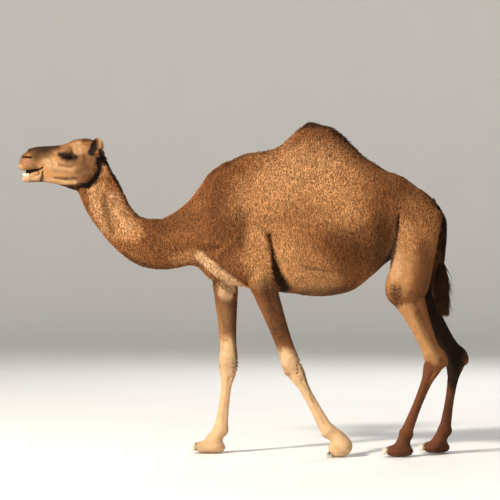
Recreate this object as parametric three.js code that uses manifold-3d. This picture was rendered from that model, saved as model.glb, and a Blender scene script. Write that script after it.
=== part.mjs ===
// A dromedary camel at life size, caught in mid walk.
// Millimetres, +Z up. It faces -X, its left side is -Y, and it stands on the plane Z = 0
// with the middle of its length and width over the origin.
//
// The body is described once, as a distance field: elliptical chains for the long parts
// and ellipsoids for the muscles and bones under the hide, blended softly into each other.
// Every sub-part is then a closed skin sampled round its own axis on that field,
// trimmed where it meets its neighbours.

import * as THREE from "three";
import { mergeVertices } from "three/addons/utils/BufferGeometryUtils.js";
import Module from "manifold-3d";

const wasm = await Module();
wasm.setup();

// ---------------------------------------------------------------- driving dimensions

const WITHERS_HEIGHT = 1885;
const HUMP_HEIGHT = 2100;
const CHEST_DEPTH = 870;
const BARREL_HALF_WIDTH = 318;
const FORE_TRACK = 128; // from the midline to each forefoot
const HIND_TRACK = 132; // from the midline to each hind foot
const HIND_FOOT_SCALE = 0.9; // the hind feet are smaller than the forefeet
const EYE_RADIUS = 22;
const CUT_GAP = 0.35; // left between two solids parted by a plane
const ROOM = 0.5; // left round a solid by the neighbours that are cut to fit it
const CHAIN_CAP = 0.4; // how far a chain bulges past its ends, as a share of its lesser half girth
const LIMB_RISE = 10; // how far a limb's solid runs out over the trunk it grows from
const WORLD = 6000; // larger than the animal, for the blocks that cut it

const LEFT = -1;
const RIGHT = 1;
const SIDES = [
  ["left", LEFT],
  ["right", RIGHT],
];

// ---------------------------------------------------------------- distance field

const vec = (x, y, z) => new THREE.Vector3(x, y, z);

/** Distance to an ellipsoid with semi-axes r, near enough to exact close to its surface. */
function ellipsoidDistance(u, v, w, ru, rv, rw) {
  const k0 = Math.hypot(u / ru, v / rv, w / rw);
  const k1 = Math.hypot(u / (ru * ru), v / (rv * rv), w / (rw * rw));
  return k1 < 1e-9 ? -Math.min(ru, rv, rw) : (k0 * (k0 - 1)) / k1;
}

/**
 * A run of elliptical sections along a bent axis. Each station is [x, y, z, half depth, half width].
 * Sections are square to the axis, or to X where they are upright.
 */
class Chain {
  constructor(stations, blend, { upright = false, perSpan = 5 } = {}) {
    const centres = new THREE.CatmullRomCurve3(
      stations.map(([x, y, z]) => vec(x, y, z)),
      false,
      "catmullrom",
    );
    const girths = new THREE.CatmullRomCurve3(
      stations.map(([, , , depth, width]) => vec(depth, width, 0)),
      false,
      "catmullrom",
    );
    const count = (stations.length - 1) * perSpan;
    this.blend = blend;
    this.links = [];
    for (let i = 0; i < count; i++) {
      const from = centres.getPoint(i / count);
      const step = centres.getPoint((i + 1) / count).sub(from);
      const along = upright ? vec(1, 0, 0) : step.clone().normalize();
      const side = vec(0, 1, 0).addScaledVector(along, -along.y).normalize();
      const girth = girths.getPoint(i / count);
      const widening = girths.getPoint((i + 1) / count).sub(girth);
      const run = step.dot(along);
      this.links.push({ from, step, along, run, side, up: along.clone().cross(side), girth, widening });
    }
    this.box = new THREE.Box3();
    for (const [x, y, z, depth, width] of stations)
      this.box.union(
        new THREE.Box3().setFromCenterAndSize(
          vec(x, y, z),
          vec(2, 2, 2).multiplyScalar(Math.max(depth, width)),
        ),
      );
  }

  distance(p) {
    let best = Infinity;
    const offset = vec(0, 0, 0);
    for (const { from, step, along, run, side, up, girth, widening } of this.links) {
      const t = THREE.MathUtils.clamp(offset.subVectors(p, from).dot(along) / run, 0, 1);
      offset.addScaledVector(step, -t);
      const depth = girth.x + widening.x * t;
      const width = girth.y + widening.y * t;
      const cap = Math.min(depth, width) * CHAIN_CAP;
      const d = ellipsoidDistance(offset.dot(up), offset.dot(side), offset.dot(along), depth, width, cap);
      if (d < best) best = d;
    }
    return best;
  }
}

/** One muscle or bone: an ellipsoid with semi-axes [x, y, z], pitched nose-down by so many degrees. */
class Lump {
  constructor([x, y, z], [rx, ry, rz], blend, pitch = 0) {
    this.centre = vec(x, y, z);
    this.radii = [rx, ry, rz];
    this.blend = blend;
    this.cos = Math.cos(THREE.MathUtils.degToRad(pitch));
    this.sin = Math.sin(THREE.MathUtils.degToRad(pitch));
    this.box = new THREE.Box3().setFromCenterAndSize(
      this.centre,
      vec(2, 2, 2).multiplyScalar(Math.max(rx, ry, rz)),
    );
  }

  distance(p) {
    const dx = p.x - this.centre.x;
    const dz = p.z - this.centre.z;
    const along = dx * this.cos - dz * this.sin;
    const across = dx * this.sin + dz * this.cos;
    return ellipsoidDistance(along, p.y - this.centre.y, across, ...this.radii);
  }
}

/** Part of a field: what lies within reach of some of its forms. */
function nearTo(field, forms, reach) {
  const local = fieldOf(forms);
  return (p) => Math.max(field(p), local(p) - reach);
}

/** Smooth union of forms, each joined over its own blend length. */
function fieldOf(forms) {
  return (p) => {
    let total = 1e6;
    for (const form of forms) {
      if (form.box.distanceToPoint(p) > total + form.blend) continue;
      const d = form.distance(p);
      const overlap = Math.max(0, form.blend - Math.abs(total - d));
      total = Math.min(total, d) - (overlap * overlap) / (4 * form.blend);
    }
    return total;
  };
}

// ---------------------------------------------------------------- sampling a closed skin

/** How far a ray from start runs before it leaves the field, up to reach. */
function runInside(field, start, ray, reach) {
  const probe = vec(0, 0, 0);
  const value = (d) => field(probe.copy(start).addScaledVector(ray, d));
  let inside = 0;
  let outside = null;
  for (let d = 4; d < reach && outside === null; ) {
    const here = value(d);
    if (here > 0) outside = d;
    else {
      inside = d;
      d += Math.max(3, -here * 0.7);
    }
  }
  if (outside === null) return reach;
  for (let i = 0; i < 14; i++) {
    const middle = (inside + outside) / 2;
    if (value(middle) > 0) outside = middle;
    else inside = middle;
  }
  return (inside + outside) / 2;
}

/**
 * A closed skin of the field round an axis: rings square to it, and a fan of rays over each end.
 * reach is how far a ray may go, sides the points in a ring and dome the rings over each end.
 * Returns the solid, and the room that a neighbour leaves for it, a little larger all round.
 */
function skinRound(field, axisPoints, { rings, sides, dome = 2, reach }) {
  const axis = new THREE.CatmullRomCurve3(axisPoints.map(([x, y, z]) => vec(x, y, z)));
  const cast = (from, ray) => ({ from, ray, run: runInside(field, from, ray, reach) });
  const rows = [];
  const ringAt = (centre, along, lean) => {
    const side = vec(0, 1, 0).addScaledVector(along, -along.y).normalize();
    const up = side.clone().cross(along);
    const row = [];
    for (let i = 0; i < sides; i++) {
      const angle = (2 * Math.PI * i) / sides;
      const ray = up
        .clone()
        .multiplyScalar(Math.cos(angle) * Math.cos(lean))
        .addScaledVector(side, Math.sin(angle) * Math.cos(lean))
        .addScaledVector(along, Math.sin(lean));
      row.push(cast(centre, ray));
    }
    rows.push(row);
  };
  const first = axis.getPointAt(0);
  const last = axis.getPointAt(1);
  const firstWay = axis.getTangentAt(0);
  const lastWay = axis.getTangentAt(1);
  for (let i = dome; i > 0; i--) ringAt(first, firstWay, (-i / (dome + 1)) * (Math.PI / 2));
  for (let i = 0; i <= rings; i++) ringAt(axis.getPointAt(i / rings), axis.getTangentAt(i / rings), 0);
  for (let i = 1; i <= dome; i++) ringAt(last, lastWay, (i / (dome + 1)) * (Math.PI / 2));
  const casts = [cast(first, firstWay.clone().negate()), ...rows.flat(), cast(last, lastWay)];
  const triangles = [];
  const at = (row, i) => 1 + row * sides + (i % sides);
  for (let i = 0; i < sides; i++) triangles.push(0, at(0, i + 1), at(0, i));
  for (let row = 0; row + 1 < rows.length; row++)
    for (let i = 0; i < sides; i++) {
      triangles.push(at(row, i), at(row, i + 1), at(row + 1, i + 1));
      triangles.push(at(row, i), at(row + 1, i + 1), at(row + 1, i));
    }
  const end = rows.length - 1;
  for (let i = 0; i < sides; i++) triangles.push(casts.length - 1, at(end, i), at(end, i + 1));
  const points = casts.flatMap(({ from, ray, run }) => from.clone().addScaledVector(ray, run).toArray());
  const skin = new THREE.BufferGeometry()
    .setAttribute("position", new THREE.Float32BufferAttribute(points, 3))
    .setIndex(triangles);
  skin.computeVertexNormals();
  const outward = [...skin.attributes.normal.array];
  const solid = solidFrom(points, triangles);
  const grown = solidFrom(
    points.map((value, i) => value + outward[i] * ROOM),
    triangles,
  );
  return { solid, room: grown.add(solid) };
}

// ---------------------------------------------------------------- solids

/** A manifold solid from flat lists of coordinates and triangle corners, turned to face out. */
function solidFrom(coordinates, triangles) {
  const solid = new wasm.Manifold(
    new wasm.Mesh({
      numProp: 3,
      vertProperties: new Float32Array(coordinates),
      triVerts: new Uint32Array(triangles),
    }),
  );
  if (solid.volume() < 0) throw new Error("faces point in " + solid.volume());
  return solid;
}

/** A manifold solid from a closed three.js geometry. */
function solidOfGeometry(geometry) {
  const bare = geometry.index ? geometry.toNonIndexed() : geometry.clone();
  bare.deleteAttribute("normal");
  bare.deleteAttribute("uv");
  const merged = mergeVertices(bare, 1e-3);
  return solidFrom([...merged.attributes.position.array], [...merged.index.array]);
}

/** Everything on the side of a plane that its normal points to, from gap past the plane. */
function beyond([x, y, z], normal, gap = 0) {
  const way = vec(...normal).normalize();
  const block = new THREE.BoxGeometry(WORLD, WORLD, WORLD).translate(0, 0, WORLD / 2 + gap);
  block.applyQuaternion(new THREE.Quaternion().setFromUnitVectors(vec(0, 0, 1), way));
  return solidOfGeometry(block.translate(x, y, z));
}

/** Parts a solid with a thin cut: [the side the normal points to, the other side]. */
function parted(solid, point, normal) {
  const back = normal.map((n) => -n);
  return [
    solid.intersect(beyond(point, normal, CUT_GAP / 2)),
    solid.intersect(beyond(point, back, CUT_GAP / 2)),
  ];
}

/** The largest piece of a solid, so that a sliver left by a cut is dropped. */
function largest(solid) {
  return solid.decompose().reduce((a, b) => (a.volume() > b.volume() ? a : b));
}

const animal = new THREE.Group();
const finish = (color, roughness) =>
  new THREE.MeshStandardMaterial({ color, roughness, metalness: 0 });
const HIDE = finish(0x94693f, 0.9);
const PALE_HIDE = finish(0xcfae80, 0.9);
const DARK_HAIR = finish(0x33231a, 0.95);
const EYE = finish(0x1b120c, 0.15);
const NAIL = finish(0x6b5d4b, 0.5);
const TOOTH = finish(0xe9dfc6, 0.35);

/** Adds a solid to the animal as one named mesh. */
function addPart(name, solid, material) {
  const { vertProperties, triVerts, numProp, numVert } = largest(solid).getMesh();
  const position = new Float32Array(numVert * 3);
  for (let i = 0; i < numVert; i++)
    position.set(vertProperties.subarray(i * numProp, i * numProp + 3), i * 3);
  const geometry = new THREE.BufferGeometry()
    .setAttribute("position", new THREE.BufferAttribute(position, 3))
    .setIndex(new THREE.BufferAttribute(triVerts, 1));
  geometry.computeVertexNormals();
  const mesh = new THREE.Mesh(geometry, material);
  mesh.name = name;
  animal.add(mesh);
}

// ---------------------------------------------------------------- trunk

const CHEST_FLOOR = WITHERS_HEIGHT - CHEST_DEPTH;
const HUMP_ROOT = 1720; // the hump's sections are centred at this height, inside the back

/** A barrel section from the height of the spine and of the belly. */
const barrelStation = (x, spine, belly, width) => [x, 0, (spine + belly) / 2, (spine - belly) / 2, width];
/** A hump section that reaches the given height. */
const humpStation = (x, top, width) => [x, 0, HUMP_ROOT, top - HUMP_ROOT, width];

const barrel = new Chain(
  [
    barrelStation(-262, 1640, CHEST_FLOOR + 150, 96), // breast
    barrelStation(-215, 1772, CHEST_FLOOR + 100, 142),
    barrelStation(-150, 1826, CHEST_FLOOR + 72, 176),
    barrelStation(-80, 1860, CHEST_FLOOR + 56, 198),
    barrelStation(20, WITHERS_HEIGHT + 16, CHEST_FLOOR + 35, 212), // withers
    barrelStation(150, 1905, CHEST_FLOOR + 14, 232), // girth
    barrelStation(290, 1890, CHEST_FLOOR + 2, 268),
    barrelStation(430, 1870, CHEST_FLOOR - 10, 300),
    barrelStation(560, 1855, CHEST_FLOOR - 6, BARREL_HALF_WIDTH), // belly
    barrelStation(680, 1840, CHEST_FLOOR + 18, 302),
    barrelStation(790, 1822, CHEST_FLOOR + 98, 270), // loin
    barrelStation(890, 1800, CHEST_FLOOR + 186, 224),
    barrelStation(990, 1766, CHEST_FLOOR + 240, 186), // croup
    barrelStation(1085, 1700, CHEST_FLOOR + 262, 158),
    barrelStation(1165, 1622, CHEST_FLOOR + 300, 124), // buttocks
    barrelStation(1228, 1530, CHEST_FLOOR + 370, 84),
  ],
  60,
  { upright: true },
);

const hump = new Chain(
  [
    humpStation(60, 1850, 110),
    humpStation(150, 1888, 140),
    humpStation(240, 1940, 166),
    humpStation(320, 2020, 184),
    humpStation(411, HUMP_HEIGHT - 3, 190), // crest
    humpStation(480, 2086, 192),
    humpStation(550, 2068, 194),
    humpStation(613, 2024, 192),
    humpStation(676, 1960, 186),
    humpStation(745, 1886, 174),
    humpStation(820, 1826, 150),
  ],
  90,
  { upright: true },
);

/** The masses of one side of the trunk, which don't swing with the legs. */
function flankForms(side) {
  return [
    new Chain(
      [
        [-10, side * 70, 1800, 120, 48],
        [-60, side * 128, 1640, 138, 60], // shoulder blade
        [-105, side * 150, 1470, 125, 66],
        [-130, side * 150, 1330, 105, 72], // point of the shoulder
      ],
      60,
    ),
    new Lump([490, side * 95, 1280], [290, 225, 255], 80), // belly
    new Lump([940, side * 118, 1678], [120, 78, 78], 70, 25), // hip bone
    new Lump([1080, side * 100, 1520], [140, 92, 160], 70, -25), // rump muscle
  ];
}

const trunkForms = [barrel, hump, ...flankForms(LEFT), ...flankForms(RIGHT)];

// ---------------------------------------------------------------- limbs

// Joint centres of each leg as it stands in the stride, and the pitch of its foot.
const FORELEGS = {
  left: {
    side: LEFT,
    shoulder: [-85, 158, 1320],
    elbow: [108, 150, 1130],
    knee: [311, 136, 566],
    fetlock: [532, FORE_TRACK, 160],
    pitch: -62, // up on its toes, about to leave the ground
    ball: [606, FORE_TRACK, 74],
  },
  right: {
    side: RIGHT,
    shoulder: [-205, 150, 1262],
    elbow: [-112, 150, 1130],
    knee: [-86, 136, 566],
    fetlock: [-138, FORE_TRACK, 148],
    pitch: 0,
    ball: [-200, FORE_TRACK, 36],
  },
};
const HINDLEGS = {
  left: {
    side: LEFT,
    hip: [1095, 118, 1540],
    stifle: [1030, 158, 1010],
    hock: [1204, 128, 604],
    fetlock: [1020, HIND_TRACK, 146],
    pitch: 0,
    ball: [985, HIND_TRACK, 34],
  },
  right: {
    side: RIGHT,
    hip: [1095, 118, 1540],
    stifle: [1105, 158, 1010],
    hock: [1358, 128, 606],
    fetlock: [1286, HIND_TRACK, 146],
    pitch: 0,
    ball: [1236, HIND_TRACK, 34],
  },
};

// Girths down each bone: [share of the way to the next joint, half depth, half width].
const FOREARM = [
  [0, 92, 66],
  [0.2, 80, 58],
  [0.45, 66, 50],
  [0.72, 56, 46],
  [0.9, 58, 52],
  [1, 60, 55],
];
const FORE_CANNON = [
  [0.14, 54, 50],
  [0.34, 36, 32],
  [0.65, 36, 32],
  [0.88, 42, 40],
  [1, 44, 44],
];
const THIGH = [
  [0, 165, 62],
  [0.35, 150, 74],
  [0.65, 138, 76],
  [0.88, 126, 68],
  [1, 108, 62],
];
const GASKIN = [
  [0.2, 88, 54],
  [0.45, 70, 44],
  [0.75, 58, 38],
  [0.92, 64, 42],
  [1, 66, 44],
];
const HIND_CANNON = [
  [0.12, 58, 42],
  [0.3, 37, 32],
  [0.6, 31, 27],
  [0.85, 36, 33],
  [1, 40, 40],
];

const place = ([x, y, z], side) => [x, side * y, z];
const midpoint = (a, b) => a.map((value, i) => (value + b[i]) / 2);

/** Stations along one bone from its girths. */
function bone(from, to, girths, side) {
  return girths.map(([share, depth, width]) => [
    ...place(
      from.map((value, i) => value + (to[i] - value) * share),
      side,
    ),
    depth,
    width,
  ]);
}

/** A point given forward, sideways and up from the ball of a foot that is pitched about it. */
function footPoint({ side, pitch, ball }, forward, out, up) {
  const angle = THREE.MathUtils.degToRad(pitch);
  return [
    ball[0] - forward * Math.cos(angle) + up * Math.sin(angle),
    side * (ball[1] + out),
    ball[2] + forward * Math.sin(angle) + up * Math.cos(angle),
  ];
}

/** The broad cushioned foot: pad, two toes and the pastern down into it. scale 1 is the forefoot. */
function footForms(leg, scale) {
  const at = (forward, out, up) => footPoint(leg, forward * scale, out * scale, up * scale);
  const forms = [
    new Chain(
      [
        [...place(leg.fetlock, leg.side), 42 * scale, 42 * scale],
        [...at(-12, 0, 52), 46 * scale, 52 * scale],
        [...at(8, 0, 18), 50 * scale, 62 * scale],
      ],
      30,
    ),
    new Lump(at(-18, 0, 2), [74 * scale, 78 * scale, 44 * scale], 34, -leg.pitch), // pad
  ];
  for (const toe of [-1, 1])
    forms.push(new Lump(at(48, toe * 36, 4), [58 * scale, 40 * scale, 38 * scale], 20, -leg.pitch));
  return forms;
}

function forelegForms(leg) {
  const { side, shoulder, elbow, knee, fetlock } = leg;
  return [
    new Chain(
      [
        [...place(shoulder, side), 112, 74],
        [...place(midpoint(shoulder, elbow), side), 108, 76], // upper arm
        [...place([elbow[0] - 6, elbow[1], elbow[2] + 40], side), 100, 70],
        ...bone(elbow, knee, FOREARM, side),
        ...bone(knee, fetlock, FORE_CANNON, side),
      ],
      48,
    ),
    new Lump(place([elbow[0] + 62, elbow[1] + 4, elbow[2] + 62], side), [42, 36, 60], 40, -15), // elbow
    new Lump(place([knee[0] - 16, knee[1], knee[2] + 8], side), [44, 50, 62], 24, 0), // knee cap
    new Lump(place([fetlock[0] + 10, fetlock[1], fetlock[2] + 4], side), [36, 44, 36], 20, 0),
  ];
}

function hindlegForms(leg) {
  const { side, hip, stifle, hock, fetlock } = leg;
  return [
    new Chain(
      [
        ...bone(hip, stifle, THIGH, side),
        ...bone(stifle, hock, GASKIN, side),
        ...bone(hock, fetlock, HIND_CANNON, side),
      ],
      40,
    ),
    new Lump(place([stifle[0] - 92, stifle[1] - 4, stifle[2] + 48], side), [46, 48, 86], 50, 4), // stifle
    new Lump(place([hock[0] + 42, hock[1] - 2, hock[2] + 14], side), [30, 26, 60], 26, -28), // point of hock
    new Lump(place([fetlock[0] + 8, fetlock[1], fetlock[2]], side), [34, 40, 34], 20, 0),
  ];
}

// ---------------------------------------------------------------- neck, head and tail

const neck = new Chain(
  [
    [-948, 0, 1862, 92, 54], // poll
    [-930, 0, 1750, 122, 62], // throat
    [-900, 0, 1665, 136, 64],
    [-856, 0, 1572, 136, 66],
    [-802, 0, 1488, 131, 68],
    [-742, 0, 1418, 133, 73],
    [-670, 0, 1368, 147, 80],
    [-588, 0, 1336, 164, 90], // lowest bend
    [-490, 0, 1330, 168, 102],
    [-388, 0, 1358, 180, 120],
    [-292, 0, 1392, 208, 140],
    [-180, 0, 1452, 262, 150], // root
  ],
  70,
);

const skullForms = [
  new Lump([-987, 0, 1899], [112, 78, 97], 40, 10), // cranium
  new Chain(
    [
      [-1050, 0, 1888, 92, 78],
      [-1130, 0, 1880, 78, 58],
      [-1210, 0, 1878, 71, 46], // bridge of the nose
      [-1285, 0, 1875, 70, 44],
      [-1330, 0, 1864, 69, 48],
    ],
    40,
  ),
  new Lump([-1350, 0, 1849], [58, 50, 59], 30, 34), // muzzle
  new Lump([-1375, 0, 1818], [44, 44, 34], 20, 8), // upper lip
  new Chain(
    [
      [-950, 0, 1786, 78, 72],
      [-1010, 0, 1758, 84, 66],
      [-1100, 0, 1762, 76, 54],
      [-1190, 0, 1772, 56, 44],
      [-1262, 0, 1776, 46, 40],
    ],
    44,
  ), // cheeks
];
for (const [, side] of SIDES)
  skullForms.push(
    new Lump([-1085, side * 72, 1914], [52, 26, 24], 26, -12), // brow
    new Chain(
      [
        [-1150, side * 52, 1852, 22, 18],
        [-1085, side * 78, 1846, 24, 20], // cheekbone
        [-1000, side * 80, 1858, 26, 18],
      ],
      30,
    ),
    new Lump([-978, side * 50, 1792], [84, 36, 92], 34, 12), // jaw muscle
    new Lump([-1350, side * 34, 1862], [36, 18, 20], 20, 38), // nostril
  );

const jawForms = [
  new Chain(
    [
      [-1080, 0, 1745, 58, 50],
      [-1170, 0, 1750, 42, 44],
      [-1250, 0, 1752, 36, 38],
      [-1310, 0, 1746, 30, 36], // chin
      [-1350, 0, 1740, 25, 34],
    ],
    20,
  ),
  new Lump([-1354, 0, 1739], [38, 35, 25], 14, -10), // lower lip
];

const tailBone = new Chain(
  [
    [1172, 0, 1590, 46, 44],
    [1228, 0, 1532, 36, 36],
    [1262, 0, 1470, 30, 32],
    [1264, 0, 1370, 27, 29],
    [1255, 0, 1270, 26, 28],
    [1247, 0, 1190, 26, 28],
  ],
  24,
);
const tailHair = new Chain(
  [
    [1248, 0, 1205, 28, 30],
    [1246, 0, 1130, 44, 40],
    [1250, 0, 1050, 50, 42],
    [1262, 0, 970, 44, 34],
    [1278, 0, 905, 26, 20],
    [1290, 0, 868, 10, 9],
  ],
  20,
);

// ---------------------------------------------------------------- whole field and sub-parts

const legForms = [
  ...Object.values(FORELEGS).flatMap((leg) => [...forelegForms(leg), ...footForms(leg, 1)]),
  ...Object.values(HINDLEGS).flatMap((leg) => [...hindlegForms(leg), ...footForms(leg, HIND_FOOT_SCALE)]),
];
const trunkField = fieldOf(trunkForms);
const bodyField = fieldOf([...trunkForms, neck, ...legForms]);
const headField = fieldOf(skullForms);
const throatField = fieldOf([neck, ...trunkForms, ...skullForms]);

const trunk = skinRound(
  trunkField,
  [
    [-200, 0, 1460],
    [100, 0, 1500],
    [450, 0, 1500],
    [800, 0, 1530],
    [1050, 0, 1560],
    [1160, 0, 1575],
  ],
  { rings: 21, sides: 20, reach: 700 },
);
const skull = skinRound(
  headField,
  [
    [-935, 0, 1850],
    [-1010, 0, 1865],
    [-1120, 0, 1858],
    [-1240, 0, 1850],
    [-1358, 0, 1845],
  ],
  { rings: 16, sides: 16, dome: 3, reach: 260 },
);

// The hump is lifted off the back along a plane from the withers to the loin.
const [humpSolid, barrelSolid] = parted(trunk.solid, [70, 0, 1906], [0.125, 0, 1]);
addPart("trunk", barrelSolid, HIDE);
addPart("hump", humpSolid, HIDE);

// Head, with a socket for each eye.
const EYE_PLACE = [-1099, 74, 1872];
const eyeBall = (side, radius) =>
  solidOfGeometry(
    new THREE.SphereGeometry(radius, 9, 6).translate(...place(EYE_PLACE, side)),
  );
let head = skull.solid;
for (const [name, side] of SIDES) {
  head = head.subtract(eyeBall(side, EYE_RADIUS + CUT_GAP));
  addPart(`eye_${name}`, eyeBall(side, EYE_RADIUS), EYE);
}

// Ears: leaf-shaped cups, turned outwards and a little back.
const EAR_LENGTH = 108;
const EAR_HALF_WIDTH = 32;
for (const [name, side] of SIDES) {
  const shell = new THREE.SphereGeometry(1, 8, 6).scale(20, EAR_HALF_WIDTH, EAR_LENGTH / 2);
  const hollow = new THREE.SphereGeometry(1, 7, 5)
    .scale(17, EAR_HALF_WIDTH - 8, EAR_LENGTH / 2 - 12)
    .translate(-14, 0, 6);
  const seat = (geometry) =>
    solidOfGeometry(
      geometry
        .translate(0, 0, EAR_LENGTH / 2 - 14)
        .rotateZ(side * THREE.MathUtils.degToRad(-48))
        .rotateX(side * THREE.MathUtils.degToRad(-24))
        .rotateY(THREE.MathUtils.degToRad(12))
        .translate(-922, side * 62, 1906),
    );
  addPart(`ear_${name}`, seat(shell).subtract(seat(hollow)).subtract(skull.room), HIDE);
}
addPart("head", head, HIDE);

const jaw = skinRound(
  fieldOf(jawForms),
  [
    [-1070, 0, 1748],
    [-1210, 0, 1752],
    [-1352, 0, 1741],
  ],
  { rings: 7, sides: 8, reach: 120 },
);

// Six lower incisors stand in an arc behind the lower lip.
const TOOTH_SIZE = [9, 11.4, 44]; // thickness, width and length with the root
const TOOTH_ARC = { x: -1344, z: 1753, radius: 27, step: 24, count: 6 };
function incisors(grow) {
  let row = null;
  for (let i = 0; i < TOOTH_ARC.count; i++) {
    const turn = THREE.MathUtils.degToRad((i - (TOOTH_ARC.count - 1) / 2) * TOOTH_ARC.step);
    const tooth = solidOfGeometry(
      new THREE.BoxGeometry(...TOOTH_SIZE.map((size) => size + 2 * grow))
        .translate(-TOOTH_ARC.radius, 0, 0)
        .rotateZ(turn)
        .rotateY(THREE.MathUtils.degToRad(-14))
        .translate(TOOTH_ARC.x, 0, TOOTH_ARC.z),
    );
    row = row ? row.add(tooth) : tooth;
  }
  return row;
}
addPart("lower_teeth", incisors(0), TOOTH);
addPart("lower_jaw", jaw.solid.subtract(skull.room).subtract(incisors(CUT_GAP)), PALE_HIDE);

// Neck in two lengths, fitted round the back of the head and against the breast.
const neckSkin = skinRound(
  nearTo(throatField, [neck], LIMB_RISE),
  [
    [-948, 0, 1850],
    [-905, 0, 1680],
    [-802, 0, 1488],
    [-670, 0, 1368],
    [-588, 0, 1342],
    [-490, 0, 1348],
    [-330, 0, 1410],
    [-200, 0, 1470],
  ],
  { rings: 15, sides: 14, reach: 330 },
);
const neckSolid = neckSkin.solid.subtract(trunk.room).subtract(skull.room).subtract(jaw.room);
const [neckUpper, neckLower] = parted(neckSolid, [-742, 0, 1418], [-0.72, 0, 0.69]);
addPart("neck_upper", neckUpper, HIDE);
addPart("neck_lower", neckLower, HIDE);

// Tail.
const tailSolid = skinRound(
  fieldOf([tailBone]),
  [
    [1215, 0, 1610],
    [1262, 0, 1470],
    [1262, 0, 1350],
    [1248, 0, 1210],
  ],
  { rings: 8, sides: 8, reach: 90 },
).solid.subtract(trunk.room);
const tuftSolid = skinRound(
  fieldOf([tailHair]),
  [
    [1248, 0, 1195],
    [1250, 0, 1050],
    [1288, 0, 876],
  ],
  { rings: 8, sides: 8, reach: 90 },
).solid;
const TAIL_CUT = [1250, 0, 1195];
addPart("tail", parted(tailSolid, TAIL_CUT, [0, 0, 1])[0], HIDE);
addPart("tail_tuft", parted(tuftSolid, TAIL_CUT, [0, 0, 1])[1], DARK_HAIR);

// Legs.
const ABOVE_GROUND = beyond([0, 0, 0], [0, 0, 1]);
const NAIL_SIZE = [30, 21, 22]; // half length, half width and half height

/** The cushioned foot of a leg, with a bed for each nail, and adds its two nails. */
function footSolid(name, leg, scale) {
  const axis = [-40, 10, 62].map((forward) => footPoint(leg, forward * scale, 0, 8));
  const field = fieldOf(footForms(leg, scale));
  let foot = skinRound(field, axis, { rings: 5, sides: 10, reach: 130 * scale }).solid;
  [-1, 1].forEach((toe, i) => {
    const nail = (grow) =>
      solidOfGeometry(
        new THREE.SphereGeometry(1, 7, 5)
          .scale(...NAIL_SIZE.map((size) => size * scale + grow))
          .rotateY(THREE.MathUtils.degToRad(leg.pitch))
          .translate(...footPoint(leg, 98 * scale, toe * 36 * scale, 0)),
      ).intersect(ABOVE_GROUND);
    foot = foot.subtract(nail(CUT_GAP));
    addPart(`${name}_nail_${i + 1}`, nail(0), NAIL);
  });
  return foot.intersect(ABOVE_GROUND);
}

/**
 * Adds one leg, parted square to its bones at each of its joints.
 * axis is the line its skin is sampled round, labels and materials run from the top down.
 */
function addLeg(name, leg, { forms, axis, rings, reach, scale, joints, labels, materials }) {
  const ownForms = [...forms, ...footForms(leg, scale)];
  const skin = skinRound(nearTo(bodyField, ownForms, LIMB_RISE), axis, { rings, sides: 12, reach });
  const half = beyond([0, leg.side * CUT_GAP, 0], [0, leg.side, 0]);
  let rest = skin.solid.subtract(trunk.room).subtract(neckSkin.room).intersect(half);
  const cut = (solid, [upper, joint, lower]) =>
    parted(solid, place(joint, leg.side), [upper[0] - lower[0], 0, upper[2] - lower[2]]);
  joints.forEach((joint, i) => {
    const [above, below] = cut(rest, joint);
    addPart(`${name}_${labels[i]}`, above, materials[i]);
    rest = below;
  });
  const foot = cut(footSolid(name, leg, scale), joints.at(-1))[1];
  addPart(`${name}_${labels.at(-1)}`, foot, materials.at(-1));
}

for (const [name, leg] of Object.entries(FORELEGS)) {
  const { side, elbow, knee, fetlock } = leg;
  const pastern = footPoint({ ...leg, side: 1 }, -8, 0, 62);
  addLeg(`fore_${name}`, leg, {
    forms: forelegForms(leg),
    axis: [
      place([elbow[0] - 20, elbow[1], elbow[2] + 60], side),
      place(elbow, side),
      place(knee, side),
      place(fetlock, side),
      footPoint(leg, -6, 0, 40),
    ],
    rings: 15,
    reach: 150,
    scale: 1,
    joints: [
      [elbow, knee, fetlock],
      [fetlock, pastern, leg.ball],
    ],
    labels: ["forearm", "cannon", "foot"],
    materials: [HIDE, PALE_HIDE, PALE_HIDE],
  });
}

for (const [name, leg] of Object.entries(HINDLEGS)) {
  const { side, hip, stifle, hock, fetlock } = leg;
  const pastern = footPoint({ ...leg, side: 1 }, -8, 0, 58);
  addLeg(`hind_${name}`, leg, {
    forms: hindlegForms(leg),
    axis: [
      place([hip[0] - 10, hip[1] + 20, hip[2] - 60], side),
      place(midpoint(hip, stifle), side),
      place([stifle[0], stifle[1], stifle[2] + 30], side),
      place([stifle[0] + 60, stifle[1] - 10, stifle[2] - 110], side),
      place(hock, side),
      place([hock[0] - 45, hock[1], hock[2] - 100], side),
      place(fetlock, side),
      footPoint(leg, -6, 0, 40),
    ],
    rings: 19,
    reach: 210,
    scale: HIND_FOOT_SCALE,
    joints: [
      [hip, [stifle[0] + 20, stifle[1], stifle[2] - 60], hock],
      [stifle, hock, fetlock],
      [fetlock, pastern, leg.ball],
    ],
    labels: ["thigh", "gaskin", "cannon", "foot"],
    materials: [HIDE, HIDE, PALE_HIDE, PALE_HIDE],
  });
}

// ---------------------------------------------------------------- stance

const middle = new THREE.Box3().setFromObject(animal).getCenter(vec(0, 0, 0));
animal.position.set(-middle.x, -middle.y, 0);

const root = new THREE.Group();
root.add(animal);

export default root;
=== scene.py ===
"""A dromedary camel at life size, standing still in mid stride.

The hide is one closed surface drawn from a field of muscles, bones, folds and grooves, sunk
by the depth of the coat. Wool, hair and lashes are solid locks that stand over it.
Lengths in the body's tables are millimetres, and everything built from them is in metres.
The camel faces -X, its left side is -Y and +Z is up.
"""

from __future__ import annotations

import logging  # noqa: E402
import math  # noqa: E402
from dataclasses import dataclass, replace  # noqa: E402
from enum import Enum  # noqa: E402
from typing import Callable, Iterable, Sequence  # noqa: E402

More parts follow.
